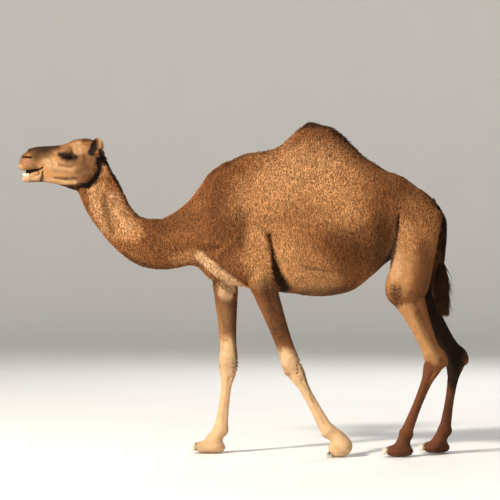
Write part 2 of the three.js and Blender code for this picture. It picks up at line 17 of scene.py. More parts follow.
import bmesh  # noqa: E402
import bpy  # noqa: E402
import numpy as np  # noqa: E402
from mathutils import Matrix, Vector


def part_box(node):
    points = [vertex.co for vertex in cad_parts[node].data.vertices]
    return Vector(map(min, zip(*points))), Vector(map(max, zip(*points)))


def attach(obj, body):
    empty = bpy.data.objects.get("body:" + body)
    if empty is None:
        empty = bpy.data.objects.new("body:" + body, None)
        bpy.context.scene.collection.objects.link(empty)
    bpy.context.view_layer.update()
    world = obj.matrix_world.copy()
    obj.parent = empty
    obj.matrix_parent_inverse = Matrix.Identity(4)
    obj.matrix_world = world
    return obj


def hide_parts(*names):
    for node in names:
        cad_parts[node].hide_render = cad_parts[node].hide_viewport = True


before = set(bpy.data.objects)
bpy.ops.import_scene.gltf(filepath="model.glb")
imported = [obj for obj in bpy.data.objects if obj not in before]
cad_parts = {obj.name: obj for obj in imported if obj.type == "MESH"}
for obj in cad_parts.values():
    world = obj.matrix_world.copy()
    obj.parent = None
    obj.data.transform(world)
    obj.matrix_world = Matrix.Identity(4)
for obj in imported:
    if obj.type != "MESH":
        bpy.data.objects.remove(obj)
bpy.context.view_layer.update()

import openvdb  # noqa: E402
from mathutils import Euler, Vector  # noqa: E402

log = logging.getLogger("camel")

Array = np.ndarray
Triple = tuple[float, float, float]
Station = Sequence[float]

MM = 0.001
SEED = 1812
FAR = 1e4  # a distance larger than the animal
LEFT, RIGHT = -1, 1
SIDE_NAMES = {LEFT: "left", RIGHT: "right"}

EYE_PLACE: Triple = (-1099, 74, 1872)
EYE_RADIUS = 22.0


def frame_shift() -> float:
    """How far the frame's X lies from the body tables' X, in metres, measured at an eye."""
    low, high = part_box("eye_left")
    return (low[0] + high[0]) / 2 - EYE_PLACE[0] * MM


SHIFT = frame_shift()


def to_frame(points: Array) -> Array:
    """Body tables' millimetres to the frame's metres."""
    return points * MM + np.array([SHIFT, 0.0, 0.0])


def rows_of(source: bpy.types.bpy_prop_collection, name: str, width: int, kind: type = np.float32) -> Array:
    """One value of every item of a mesh, as rows."""
    found = np.empty(len(source) * width, kind)
    source.foreach_get(name, found)
    return found.reshape(-1, width)


def vertex_places(mesh: bpy.types.Mesh) -> Array:
    """A mesh's vertices in the body tables' millimetres."""
    return (rows_of(mesh.vertices, "co", 3).astype(float) - [SHIFT, 0, 0]) / MM


def mirrored(points: Array) -> Array:
    """The points with those of the left side carried over to the right."""
    return points * [1, 0, 1] + np.abs(points) * [0, 1, 0]


def linked(name: str, data: bpy.types.ID) -> bpy.types.Object:
    """Adds an object to the scene."""
    made = bpy.data.objects.new(name, data)
    bpy.context.scene.collection.objects.link(made)
    return made


def applied(holder: bpy.types.Object, name: str) -> bpy.types.Mesh:
    """A mesh of an object with its modifiers applied; the object itself goes."""
    bpy.context.view_layer.update()
    finished = holder.evaluated_get(bpy.context.evaluated_depsgraph_get())
    made = bpy.data.meshes.new_from_object(finished)
    bpy.data.objects.remove(holder)
    made.name = name
    return made


# ------------------------------------------------------------------ field of the body


def smoothstep(low: float, high: float, values: Array) -> Array:
    """0 below low, 1 above high and an easy curve between; low may be above high."""
    t = np.clip((values - low) / (high - low), 0, 1)
    return t * t * (3 - 2 * t)


def unit(vectors: Array) -> Array:
    """Vectors scaled to length one."""
    return vectors / np.maximum(np.linalg.norm(vectors, axis=-1, keepdims=True), 1e-9)


def ellipsoid_distance(offsets: Array, radii: Array) -> Array:
    """Signed distance to an ellipsoid, close to exact near its surface and negative inside.

    Offsets are from its centre along its own axes; radii are one set, or one for each point.
    """
    scaled = offsets / radii
    k0 = np.sqrt((scaled * scaled).sum(-1))
    slope = scaled / radii
    k1 = np.sqrt((slope * slope).sum(-1))
    deep = k1 < 1e-6
    return np.where(deep, -np.min(radii, axis=-1), k0 * (k0 - 1) / np.where(deep, 1, k1))


def catmull_rom(stations: Array, per_span: int) -> Array:
    """Rows along a uniform Catmull-Rom curve through the stations."""
    ends = np.vstack([2 * stations[0] - stations[1], stations, 2 * stations[-1] - stations[-2]])
    rows = []
    for i in range(len(stations) - 1):
        p0, p1, p2, p3 = ends[i : i + 4]
        for t in np.arange(per_span) / per_span:
            rows.append(
                p1
                + 0.5 * t * (p2 - p0)
                + t * t * (p0 - 2.5 * p1 + 2 * p2 - 0.5 * p3)
                + t**3 * (1.5 * p1 - 0.5 * p0 - 1.5 * p2 + 0.5 * p3)
            )
    rows.append(stations[-1])
    return np.array(rows)


@dataclass(frozen=True)
class Lump:
    """An ellipsoid: a muscle or bone under the hide, or a hollow where it is carved.

    Turns are degrees: pitch is nose-down, and yaw and roll are for the animal's right side.
    """

    centre: Triple
    radii: Triple
    blend: float
    pitch: float = 0.0
    yaw: float = 0.0
    roll: float = 0.0
    carve: bool = False

    def on(self, side: int) -> "Lump":
        """The same lump on one side of the animal."""
        x, y, z = self.centre
        return replace(self, centre=(x, side * y, z), yaw=side * self.yaw, roll=side * self.roll)

    def box(self) -> tuple[Array, Array]:
        """Lowest and highest corner."""
        centre = np.array(self.centre)
        return centre - max(self.radii), centre + max(self.radii)

    def distance(self, points: Array) -> Array:
        """Signed distance of each point."""
        turn = Euler([math.radians(a) for a in (self.roll, self.pitch, self.yaw)]).to_matrix()
        own = (points - np.array(self.centre)) @ np.array(turn)
        return ellipsoid_distance(own, np.array(self.radii))


CHAIN_CAP = 0.4  # how far a link bulges past its ends, as a share of its lesser half girth
CHAIN_OVERLAP = (10, 0.45)  # how far a link is felt past its ends: millimetres, and share of its girth


class Chain:
    """Elliptical sections along a bent axis, each station [x, y, z, half depth, half width].

    Sections are square to the axis, or to X where they are upright.
    """

    def __init__(
        self, stations: Iterable[Station], blend: float, *, upright: bool = False, carve: bool = False
    ) -> None:
        """Takes the stations and works out each link's own axes."""
        self.stations = np.array(list(stations), dtype=float)
        self.blend = blend
        self.carve = carve
        rows = catmull_rom(self.stations, 5)
        self.start, self.girth = rows[:-1, :3], rows[:-1, 3:]
        self.step, self.widening = np.diff(rows[:, :3], axis=0), np.diff(rows[:, 3:], axis=0)
        self.along = np.tile([1.0, 0.0, 0.0], (len(self.step), 1)) if upright else unit(self.step)
        self.side = unit(np.array([0.0, 1.0, 0.0]) - self.along * self.along[:, 1:2])
        self.up = np.cross(self.along, self.side)
        self.run = (self.step * self.along).sum(1)

    def on(self, side: int) -> "Chain":
        """The same chain on one side of the animal; it isn't an upright one."""
        return Chain(self.stations * [1, side, 1, 1, 1], self.blend, carve=self.carve)

    def box(self) -> tuple[Array, Array]:
        """Lowest and highest corner."""
        girth = self.stations[:, 3:].max(1, keepdims=True)
        return (self.stations[:, :3] - girth).min(0), (self.stations[:, :3] + girth).max(0)

    def distance(self, points: Array) -> Array:
        """Signed distance of each point, FAR where no link is near it."""
        best = np.full(len(points), FAR)
        last = len(self.step) - 1
        for i in range(last + 1):
            widest = max(self.girth[i].max(), (self.girth[i] + self.widening[i]).max())
            overlap = CHAIN_OVERLAP[0] + CHAIN_OVERLAP[1] * widest
            along = (points - self.start[i]) @ self.along[i]
            at = np.flatnonzero(
                ((along > -overlap) | (i == 0)) & ((along < self.run[i] + overlap) | (i == last))
            )
            offset = points[at] - self.start[i]
            t = np.clip(along[at] / self.run[i], 0, 1)[:, None]
            offset = offset - t * self.step[i]
            girth = self.girth[i] + t * self.widening[i]
            own = np.stack([offset @ self.up[i], offset @ self.side[i], offset @ self.along[i]], 1)
            cap = girth.min(1, keepdims=True) * CHAIN_CAP
            best[at] = np.minimum(best[at], ellipsoid_distance(own, np.hstack([girth, cap])))
        return best


@dataclass(frozen=True)
class Ground:
    """The floor, which flattens whatever stands on it."""

    blend: float = 9.0
    carve: bool = True
    gap: float = 2.5  # kept between the hide and the floor

    def box(self) -> tuple[Array, Array]:
        """Lowest and highest corner."""
        return np.array([-FAR, -FAR, -FAR]), np.array([FAR, FAR, 30.0])

    def distance(self, points: Array) -> Array:
        """Height of each point over the lowest place that the hide may have."""
        return points[:, 2] - self.gap


Form = Lump | Chain | Ground


def inside_box(points: Array, low: Array, high: Array) -> Array:
    """Indices of the points inside a box."""
    at = np.flatnonzero((points[:, 0] > low[0]) & (points[:, 0] < high[0]))
    for axis in (1, 2):
        values = points[at, axis]
        at = at[(values > low[axis]) & (values < high[axis])]
    return at


LEAST_STEEP = 0.25  # of a squared slope, so that a flat spot doesn't throw a point away


class Field:
    """A smooth union of forms, with others carved out of it, in the order they are given."""

    def __init__(self, forms: Sequence[Form], depth: Callable[[Array], Array] | None = None) -> None:
        """Takes the forms in order, and what is to be taken off their surface at each place."""
        self.forms = list(forms)
        self.depth = depth

    def at(self, points: Array, reach: float = 8.0) -> Array:
        """Signed distance to the hide at each point, in millimetres and negative inside.

        It is right up to reach outside the animal, and may be FAR beyond.
        """
        total = np.full(len(points), FAR)
        for form in self.forms:
            low, high = form.box()
            margin = reach + form.blend
            near = inside_box(points, low - margin, high + margin)
            if not len(near):
                continue
            d = form.distance(points[near])
            have = -total[near] if form.carve else total[near]
            overlap = np.maximum(0, form.blend - np.abs(have - d))
            joined = np.minimum(have, d) - overlap * overlap / (4 * form.blend)
            total[near] = -joined if form.carve else joined
        return total if self.depth is None else total + self.depth(points)

    def slope(self, points: Array, span: float = 0.5) -> tuple[Array, Array]:
        """Values and gradients by one-sided differences."""
        value = self.at(points)
        steps = np.eye(3) * span
        return value, np.stack([(self.at(points + s) - value) / span for s in steps], 1)

    def settle(self, points: Array, longest: float, rounds: int = 2) -> Array:
        """Points moved onto the hide, none by more than longest in a round."""
        for _ in range(rounds):
            value, slope = self.slope(points)
            steep = np.maximum((slope * slope).sum(1), LEAST_STEEP)
            move = -slope * (value / steep)[:, None]
            far = np.maximum(np.linalg.norm(move, axis=1, keepdims=True) / longest, 1)
            points = points + move / far
        return points


# ------------------------------------------------------------------ trunk, neck and tail

WITHERS_HEIGHT = 1885.0
CHEST_FLOOR = WITHERS_HEIGHT - 870.0
HUMP_HEIGHT = 2100.0
HUMP_ROOT = 1720.0  # the hump's sections are centred at this height, inside the back


def barrel_station(x: float, spine: float, over: float, width: float) -> Station:
    """A barrel section from the height of the spine, and of the belly over the chest's floor."""
    belly = CHEST_FLOOR + over
    return [x, 0, (spine + belly) / 2, (spine - belly) / 2, width]


def hump_station(x: float, top: float, width: float) -> Station:
    """A hump section that reaches a height."""
    return [x, 0, HUMP_ROOT, top - HUMP_ROOT, width]


BARREL_ROWS = (  # x, height of the spine, of the belly over the chest's floor, half width
    (-262, 1690, 150, 96),  # breast
    (-215, 1772, 100, 142),
    (-150, 1826, 72, 176),
    (-80, 1860, 56, 198),
    (20, WITHERS_HEIGHT + 16, 35, 212),  # withers
    (150, 1905, 14, 232),  # girth
    (290, 1890, 2, 268),
    (430, 1870, -10, 300),
    (560, 1855, -6, 318),  # belly
    (680, 1840, 18, 302),
    (790, 1822, 98, 270),  # loin
    (890, 1800, 186, 224),
    (990, 1766, 240, 186),  # croup
    (1085, 1700, 262, 158),
    (1165, 1622, 300, 124),  # buttocks
    (1228, 1530, 370, 84),
)
HUMP_ROWS = (  # x, height of the top, half width
    (60, 1850, 110),
    (150, 1888, 140),
    (240, 1940, 166),
    (320, 2020, 184),
    (411, HUMP_HEIGHT - 3, 190),  # crest
    (480, 2086, 192),
    (550, 2068, 194),
    (613, 2024, 192),
    (676, 1960, 186),
    (745, 1886, 174),
    (820, 1826, 150),
)
BARREL = Chain([barrel_station(*row) for row in BARREL_ROWS], 60, upright=True)
HUMP = Chain([hump_station(*row) for row in HUMP_ROWS], 90, upright=True)
NECK = Chain(
    [
        [-948, 0, 1862, 92, 54],  # poll
        [-930, 0, 1750, 122, 62],  # throat
        [-900, 0, 1665, 136, 64],
        [-856, 0, 1572, 136, 66],
        [-802, 0, 1488, 131, 68],
        [-742, 0, 1418, 133, 73],
        [-670, 0, 1368, 147, 80],
        [-588, 0, 1336, 164, 90],  # lowest bend
        [-490, 0, 1330, 168, 102],
        [-388, 0, 1358, 180, 120],
        [-292, 0, 1392, 208, 140],
        [-174, 0, 1441, 248, 150],  # root
    ],
    70,
)
TAIL_BONE = Chain(
    [
        [1172, 0, 1590, 46, 44],
        [1228, 0, 1532, 36, 36],
        [1262, 0, 1470, 30, 32],
        [1264, 0, 1370, 27, 29],
        [1255, 0, 1270, 26, 28],
        [1247, 0, 1160, 20, 22],
    ],
    24,
)
TAIL_HAIR = Chain(
    [
        [1205, 0, 1540, 40, 26],
        [1222, 0, 1440, 44, 24],
        [1222, 0, 1330, 44, 24],
        [1220, 0, 1200, 46, 22],
        [1226, 0, 1100, 46, 20],
        [1240, 0, 1000, 40, 20],
    ],
    20,
)
TAIL_TUFT: list[Station] = [
    [1247, 0, 1215, 27, 28],
    [1246, 0, 1130, 44, 40],
    [1250, 0, 1050, 50, 42],
    [1262, 0, 970, 44, 34],
    [1278, 0, 905, 26, 20],
    [1290, 0, 868, 10, 9],
]


def flank_forms(side: int) -> list[Form]:
    """The masses of one side of the trunk, which don't swing with the legs."""
    shoulder_blade = Chain(
        [
            [-10, 70, 1800, 120, 48],
            [-60, 128, 1640, 138, 60],
            [-105, 150, 1470, 125, 66],
            [-130, 150, 1330, 105, 72],
        ],
        60,
    )
    return [
        shoulder_blade.on(side),
        Lump((490, 95, 1280), (290, 225, 255), 80).on(side),  # belly
        Lump((940, 118, 1678), (120, 78, 78), 70, pitch=25).on(side),  # hip bone
        Lump((1080, 100, 1520), (140, 92, 160), 70, pitch=-25).on(side),  # rump muscle
    ]


# ------------------------------------------------------------------ legs

Girth = tuple[float, float, float]  # share of the way to the next joint, half depth, half width

FOREARM: list[Girth] = [
    (0, 92, 66), (0.2, 80, 58), (0.45, 66, 50), (0.72, 56, 46), (0.9, 58, 52), (1, 60, 55)
]  # fmt: skip
FORE_CANNON: list[Girth] = [(0.14, 54, 50), (0.34, 36, 32), (0.65, 36, 32), (0.88, 42, 40), (1, 44, 44)]
THIGH: list[Girth] = [(0, 165, 62), (0.35, 150, 74), (0.65, 138, 76), (0.88, 126, 68), (1, 108, 62)]
GASKIN: list[Girth] = [(0.2, 88, 54), (0.45, 70, 44), (0.75, 58, 38), (0.92, 64, 42), (1, 66, 44)]
HIND_CANNON: list[Girth] = [(0.12, 58, 42), (0.3, 37, 32), (0.6, 31, 27), (0.85, 36, 33), (1, 40, 40)]


def blended(a: Triple, b: Triple, share: float) -> Triple:
    """A point some share of the way from a to b."""
    return tuple(p + (q - p) * share for p, q in zip(a, b))


def bone(start: Triple, end: Triple, girths: list[Girth]) -> list[Station]:
    """Stations along one bone from its girths."""
    return [[*blended(start, end, share), depth, width] for share, depth, width in girths]


TOE_OUT = 36  # from the foot's middle to each toe's, in a foot of full scale


@dataclass(frozen=True)
class Leg:
    """One leg by its joint centres, on the animal's right side, and the pitch of its foot."""

    side: int
    top: Triple  # shoulder or hip
    middle: Triple  # elbow or stifle
    lower: Triple  # knee or hock
    fetlock: Triple
    ball: Triple
    pitch: float
    scale: float  # of the foot

    def foot_point(self, forward: float, out: float, up: float) -> Triple:
        """A point forward, outwards and up from the ball of the foot, turned with its pitch."""
        angle = math.radians(self.pitch)
        f, o, u = forward * self.scale, out * self.scale, up * self.scale
        return (
            self.ball[0] - f * math.cos(angle) + u * math.sin(angle),
            self.ball[1] + o,
            self.ball[2] + f * math.sin(angle) + u * math.cos(angle),
        )

    def foot_forms(self) -> list[Form]:
        """The broad cushioned foot: pastern, pad and two toes, with the cleft between them."""
        s = self.scale
        pastern = Chain(
            [
                [*self.fetlock, 42 * s, 42 * s],
                [*self.foot_point(-16, 0, 50), 52 * s, 54 * s],
                [*self.foot_point(8, 0, 18), 50 * s, 62 * s],
            ],
            30,
        )
        pad = Lump(self.foot_point(-18, 0, 2), (74 * s, 78 * s, 44 * s), 34, pitch=-self.pitch)
        toe_size = (58 * s, 40 * s, 38 * s)
        toes = [
            Lump(self.foot_point(48, side * TOE_OUT, 4), toe_size, 20, pitch=-self.pitch)
            for side in (-1, 1)
        ]
        cleft = Chain(
            [
                [*self.foot_point(112, 0, 22), 10, 5],
                [*self.foot_point(84, 0, 36), 9, 5],
                [*self.foot_point(52, 0, 44), 7, 4],
                [*self.foot_point(26, 0, 52), 4, 3],
            ],
            10,
            carve=True,
        )
        heel = Lump(self.foot_point(-2, 0, -6), (63 * s, 70 * s, 65 * s), 22)
        return [pastern, heel if self.pitch < -20 else pad, *toes, cleft]

    def furrow(
        self, start: Triple, end: Triple, shares: Sequence[float], back: float, out: float, deep: float
    ) -> list[Form]:
        """A groove down both faces of a bone, tapering to its ends.

        It runs behind the bone's axis by back and beside it by out, with stations at shares
        of the bone from start to end. Deep is half its depth.
        """
        last = len(shares) - 1
        made: list[Form] = []
        for face in (-1, 1):
            stations = []
            for i, share in enumerate(shares):
                x, y, z = blended(start, end, share)
                girth = deep * (0.5 if i in (0, last) else 1.0)
                stations.append([x + back, y + face * out, z, girth, girth * 1.2])
            made.append(Chain(stations, deep * 2, carve=True))
        return made

    def rear_creases(self, joint: Triple, back: float, count: int = 4) -> list[Form]:
        """Short creases across the back of a joint."""
        return [
            Chain(
                [
                    [joint[0] + back - 20, joint[1] - 44, joint[2] + 30 - 24 * k, 2, 3],
                    [joint[0] + back + 1, joint[1], joint[2] + 24 - 24 * k, 2.5, 4],
                    [joint[0] + back - 20, joint[1] + 44, joint[2] + 30 - 24 * k, 2, 3],
                ],
                6,
                carve=True,
            )
            for k in range(count)
        ]


class ForeLeg(Leg):
    """A foreleg: shoulder, elbow, knee and fetlock."""

    def forms(self) -> list[Form]:
        """Muscle, bone and joints of the leg down to its foot."""
        elbow, knee, fetlock = self.middle, self.lower, self.fetlock
        limb = Chain(
            [
                [*self.top, 112, 74],
                [*blended(self.top, elbow, 0.5), 108, 76],
                [elbow[0] - 6, elbow[1], elbow[2] + 40, 100, 70],
                *bone(elbow, knee, FOREARM),
                *bone(knee, fetlock, FORE_CANNON),
            ],
            48,
        )
        return [
            limb,
            Lump((elbow[0] + 62, elbow[1] + 4, elbow[2] + 62), (42, 36, 60), 40, pitch=-15),
            Lump((knee[0] - 16, knee[1], knee[2] + 8), (44, 50, 62), 24),
            Lump((knee[0] - 30, knee[1] + 8, knee[2] - 34), (24, 34, 22), 12),
            Lump((fetlock[0] + 10, fetlock[1], fetlock[2] + 4), (36, 44, 36), 20),
            *self.furrow(knee, fetlock, (0.2, 0.4, 0.65, 0.88), 14, 35, 5.5),
            *self.furrow(elbow, knee, (0.12, 0.35, 0.6, 0.85), 20, 58, 8),
            *self.furrow(elbow, knee, (0.4, 0.6, 0.8), -18, 52, 6),
            *self.rear_creases(knee, 49),
        ]


class HindLeg(Leg):
    """A hind leg: hip, stifle, hock and fetlock."""

    def forms(self) -> list[Form]:
        """Muscle, bone and joints of the leg down to its foot."""
        stifle, hock, fetlock = self.middle, self.lower, self.fetlock
        limb = Chain(
            [
                *bone(self.top, stifle, THIGH),
                *bone(stifle, hock, GASKIN),
                *bone(hock, fetlock, HIND_CANNON),
            ],
            40,
        )
        return [
            limb,
            *self.furrow(hock, fetlock, (0.16, 0.4, 0.65, 0.88), 12, 34, 5.5),
            *self.furrow(stifle, hock, (0.1, 0.4, 0.7, 0.9), 34, 52, 9),
            *self.furrow(stifle, hock, (0.3, 0.55, 0.85), 4, 46, 6),
            Lump((stifle[0] - 92, stifle[1] - 4, stifle[2] + 48), (46, 48, 86), 50, pitch=4),
            Lump((hock[0] + 42, hock[1] - 2, hock[2] + 14), (30, 26, 60), 26, pitch=-28),
            Lump((fetlock[0] + 8, fetlock[1], fetlock[2]), (34, 40, 34), 20),
        ]


FORE_TRACK, HIND_TRACK = 128.0, 132.0  # from the midline to each foot
LEGS: dict[str, ForeLeg | HindLeg] = {
    "fore_left": ForeLeg(
        LEFT, (-85, 158, 1320), (108, 150, 1130), (311, 136, 566), (532, FORE_TRACK, 160),
        (620, FORE_TRACK, 70), pitch=-45, scale=1.0,
    ),
    "fore_right": ForeLeg(
        RIGHT, (-205, 150, 1262), (-112, 150, 1130), (-86, 136, 566), (-138, FORE_TRACK, 148),
        (-200, FORE_TRACK, 36), pitch=0, scale=1.0,
    ),
    "hind_left": HindLeg(
        LEFT, (1095, 118, 1540), (1030, 158, 1010), (1204, 128, 604), (1020, HIND_TRACK, 146),
        (985, HIND_TRACK, 34), pitch=0, scale=0.9,
    ),
    "hind_right": HindLeg(
        RIGHT, (1095, 118, 1540), (1105, 158, 1010), (1358, 128, 606), (1286, HIND_TRACK, 146),
        (1236, HIND_TRACK, 34), pitch=0, scale=0.9,
    ),
}  # fmt: skip


# ------------------------------------------------------------------ head


def skull_forms() -> list[Form]:
    """Cranium, nose, cheeks, brow and jaw muscles, muzzle and lips."""
    forms: list[Form] = [
        Lump((-987, 0, 1899), (112, 78, 97), 40, pitch=10),  # cranium
        Chain(
            [
                [-1050, 0, 1888, 92, 78],
                [-1130, 0, 1880, 78, 58],
                [-1210, 0, 1878, 71, 46],  # bridge of the nose
                [-1285, 0, 1875, 70, 44],
                [-1330, 0, 1864, 69, 48],
            ],
            40,
        ),
        Lump((-1350, 0, 1849), (58, 50, 59), 30, pitch=34),  # muzzle
        Lump((-1375, 0, 1818), (44, 44, 34), 20, pitch=8),  # upper lip
        Chain(
            [
                [-950, 0, 1786, 78, 72],
                [-1010, 0, 1758, 84, 66],
                [-1100, 0, 1762, 76, 54],  # cheeks
                [-1190, 0, 1772, 56, 44],
                [-1262, 0, 1776, 46, 40],
            ],
            44,
        ),
    ]
    for side in (LEFT, RIGHT):
        cheekbone = [[-1150, 52, 1852, 22, 18], [-1085, 78, 1846, 24, 20], [-1000, 80, 1858, 26, 18]]
        forms += [
            Lump((-1085, 72, 1914), (52, 26, 24), 26, pitch=-12).on(side),  # brow
            Chain(cheekbone, 30).on(side),
            Lump((-978, 50, 1792), (84, 36, 92), 34, pitch=12).on(side),  # jaw muscle
            Lump((-1350, 34, 1862), (36, 18, 20), 20, pitch=38).on(side),  # nostril
        ]
    return forms


def jaw_forms() -> list[Form]:
    """The lower jaw and its loose lip."""
    lip = [[-1346, 30, 1752, 12, 9], [-1318, 34, 1768, 15, 9], [-1284, 37, 1780, 15, 10]]
    return [
        Chain(
            [
                [-1080, 0, 1745, 58, 50],
                [-1170, 0, 1750, 42, 44],
                [-1250, 0, 1752, 36, 38],
                [-1310, 0, 1746, 30, 36],  # chin
                [-1350, 0, 1740, 25, 34],
            ],
            20,
        ),
        Lump((-1354, 0, 1742), (38, 36, 26), 14, pitch=-10),
        *[Chain(lip, 12).on(side) for side in (LEFT, RIGHT)],
    ]


def eye_forms(side: int) -> list[Form]:
    """Socket and the two lids that close over one eye."""
    x, y, z = EYE_PLACE
    upper = Chain(
        [
            [x - 28, y + 5, z - 3, 6, 7],
            [x - 17, y + 14, z + 10, 9, 9],
            [x - 1, y + 18, z + 16, 11, 10],
            [x + 15, y + 15, z + 11, 9, 9],
            [x + 28, y + 4, z - 1, 6, 7],
        ],
        6,
    )
    lower = Chain(
        [
            [x - 28, y + 5, z - 4, 6, 6],
            [x - 15, y + 14, z - 14, 7, 7],
            [x + 1, y + 17, z - 18, 7.5, 7.5],
            [x + 16, y + 13, z - 14, 7, 7],
            [x + 28, y + 4, z - 3, 6, 6],
        ],
        6,
    )
    bag = Chain(
        [[x - 30, y - 6, z - 24, 5, 6], [x - 4, y + 10, z - 35, 6, 7], [x + 28, y + 3, z - 24, 5, 6]],
        8,
    )
    socket = Lump((x, y, z), (EYE_RADIUS - 2,) * 3, 4, carve=True)
    return [form.on(side) for form in (socket, upper, lower, bag)]


def ear_forms(side: int) -> list[Form]:
    """A short cupped ear that opens outwards and a little forward."""
    turns = {"yaw": 24.0, "roll": -16.0, "pitch": 31.0}
    return [
        Lump((-919, 84, 1938), (40, 20, 63), 14, **turns).on(side),
        Lump((-931, 107, 1941), (29, 27, 50), 4, **turns, carve=True).on(side),
    ]


FACE_GROOVES: tuple[tuple[list[Station], float], ...] = (  # stations, and how softly each joins
    ([[-1384, 26, 1876, 4, 10], [-1356, 46, 1873, 4.5, 14], [-1326, 52, 1871, 3, 9]], 5),  # nostril
    ([[-1300, 38, 1793, 5, 14], [-1268, 42, 1800, 4, 12], [-1250, 44, 1809, 3, 8]], 6),  # mouth's corner
    (
        [
            [-1250, 44, 1782, 5, 9],
            [-1254, 42, 1758, 6, 10],
            [-1266, 34, 1734, 7, 12],
            [-1272, 18, 1716, 6, 10],
        ],
        8,
    ),  # behind the lip
    ([[-1184, 48, 1744, 3, 7], [-1120, 58, 1737, 5, 8], [-1052, 66, 1740, 4, 8]], 14),  # along the jaw
    (
        [
            [-902, 66, 1872, 10, 12],
            [-898, 72, 1815, 14, 16],
            [-918, 74, 1762, 15, 18],
            [-962, 66, 1706, 15, 18],
            [-1030, 48, 1680, 11, 16],
        ],
        18,
    ),  # behind the jaw
)


def face_folds(side: int) -> list[Form]:
    """Nostril and its rim, mouth corner, the creases of the cheek and the temple's hollow."""
    rim = Chain([[-1380, 25, 1885, 5, 6], [-1356, 41, 1884, 6, 7], [-1326, 46, 1880, 5, 6]], 8)
    grooves = [Chain(stations, blend, carve=True) for stations, blend in FACE_GROOVES]
    temple = Lump((-1030, 84, 1925), (40, 12, 30), 24, carve=True)
    return [form.on(side) for form in (rim, *grooves, temple)]


LIP_CLEFT = Chain([[-1400, 0, 1866, 5, 5], [-1418, 0, 1835, 7, 5], [-1420, 0, 1796, 9, 6]], 8, carve=True)
MOUTH_GAP = Chain(
    [
        [-1420, 0, 1783, 9, 60],
        [-1372, 0, 1783, 8, 56],
        [-1336, 0, 1785, 7, 52],
        [-1310, 0, 1789, 4, 50],
        [-1280, 0, 1795, 4, 46],
    ],
    5,
    carve=True,
)
MOUTH_INSIDE = Chain(
    [
        [-1362, 0, 1778, 18, 17],
        [-1338, 0, 1778, 20, 22],
        [-1300, 0, 1784, 18, 26],
        [-1262, 0, 1790, 16, 28],
    ],
    4,
)


# ------------------------------------------------------------------ folds of the body


def body_folds(side: int) -> list[Form]:
    """The hollow behind the elbow and the fold where the thigh joins the flank."""
    elbow = LEGS[f"fore_{SIDE_NAMES[side]}"].middle
    stifle = LEGS[f"hind_{SIDE_NAMES[side]}"].middle
    outs = (222, 232, 240, 246, 236, 218) if side == LEFT else (212, 214, 202, 210, 178, 146)
    rows = (
        (54, 262, 3, 14), (68, 205, 8, 32), (86, 140, 17, 56),
        (108, 66, 27, 76), (136, -10, 36, 88), (170, -84, 42, 92),
    )  # fmt: skip
    pit = [[elbow[0] + x, y, elbow[2] + z, a, b] for y, (x, z, a, b) in zip(outs, rows)]
    armpit = Chain(pit, 16, carve=True)
    flank = Chain(
        [
            [stifle[0] - 50, 216, stifle[2] + 540, 7, 16],
            [stifle[0] - 66, 228, stifle[2] + 440, 12, 28],
            [stifle[0] - 84, 236, stifle[2] + 340, 16, 40],
            [stifle[0] - 108, 228, stifle[2] + 250, 20, 52],
            [stifle[0] - 130, 210, stifle[2] + 180, 22, 60],
        ],
        22,
        carve=True,
    )
    return [armpit.on(side), flank.on(side)]


# ------------------------------------------------------------------ depth of the coat

WOOL_DEPTH = 13.0
SHORT_DEPTH = 3.0
HEAD_EDGE = (-932.0, 1790.0)  # x and z of a point where the head ends, behind the jaw
HEAD_SLANT = 0.58  # how far back the head's edge runs for each millimetre up


def head_share(points: Array) -> Array:
    """1 on the head, 0 on the rest."""
    behind = points[:, 0] - HEAD_EDGE[0] - HEAD_SLANT * (points[:, 2] - HEAD_EDGE[1])
    return 1 - smoothstep(-40, 40, behind)


def wool_share(points: Array) -> Array:
    """1 where the coat is wool, 0 where it is short: on the head and down the legs."""
    x, z = points[:, 0], points[:, 2]
    hind = smoothstep(780, 900, x)
    above_legs = smoothstep(930, 1200, z) * (1 - hind) + smoothstep(1120, 1500, z) * hind
    return (1 - head_share(points)) * above_legs


def coat_depth(points: Array) -> Array:
    """How deep the coat stands over the hide, in millimetres."""
    return SHORT_DEPTH + (WOOL_DEPTH - SHORT_DEPTH) * wool_share(points)


def callus_forms(body: Field) -> list[Form]:
    """The knobbly pads at the front of the stifles, set on the surface of the body as it is."""
    made: list[Form] = []
    rng = np.random.default_rng(SEED + 5)
    for name in ("hind_left", "hind_right"):
        leg = LEGS[name]
        for k in range(16):
            x = leg.middle[0] - 101 + 21 * (k % 3) + 2 * (k // 3) + rng.normal(0, 6)
            z = leg.middle[2] + 50 - 24 * (k // 3) + rng.normal(0, 6)
            out = np.arange(60, 280, 3.0)
            probe = np.stack([np.full(len(out), x), out * leg.side, np.full(len(out), z)], 1)
            inside = body.at(probe) < 0
            if inside.any():
                size = rng.uniform(9, 14)
                place = (x, (out[inside].max() + 2) * leg.side, z)
                made.append(Lump(place, (size, 12, size * 0.8), 3))
    return made


def body_forms() -> list[Form]:
    """Every form of the animal, in the order they join."""
    forms: list[Form] = [BARREL, HUMP, *flank_forms(LEFT), *flank_forms(RIGHT), NECK, TAIL_BONE]
    for leg in LEGS.values():
        forms += [form.on(leg.side) for form in [*leg.forms(), *leg.foot_forms()]]
    forms += skull_forms()
    for side in (LEFT, RIGHT):
        forms += [*body_folds(side), *face_folds(side), *eye_forms(side), *ear_forms(side)]
    forms += [LIP_CLEFT, *jaw_forms(), MOUTH_GAP, MOUTH_INSIDE, TAIL_HAIR]
    return [*forms, *callus_forms(Field(forms)), Ground()]


BODY = Field(body_forms(), coat_depth)


# ------------------------------------------------------------------ drawing the hide


GRID_BAND = 4  # grid steps to each side of the hide within which distances are kept


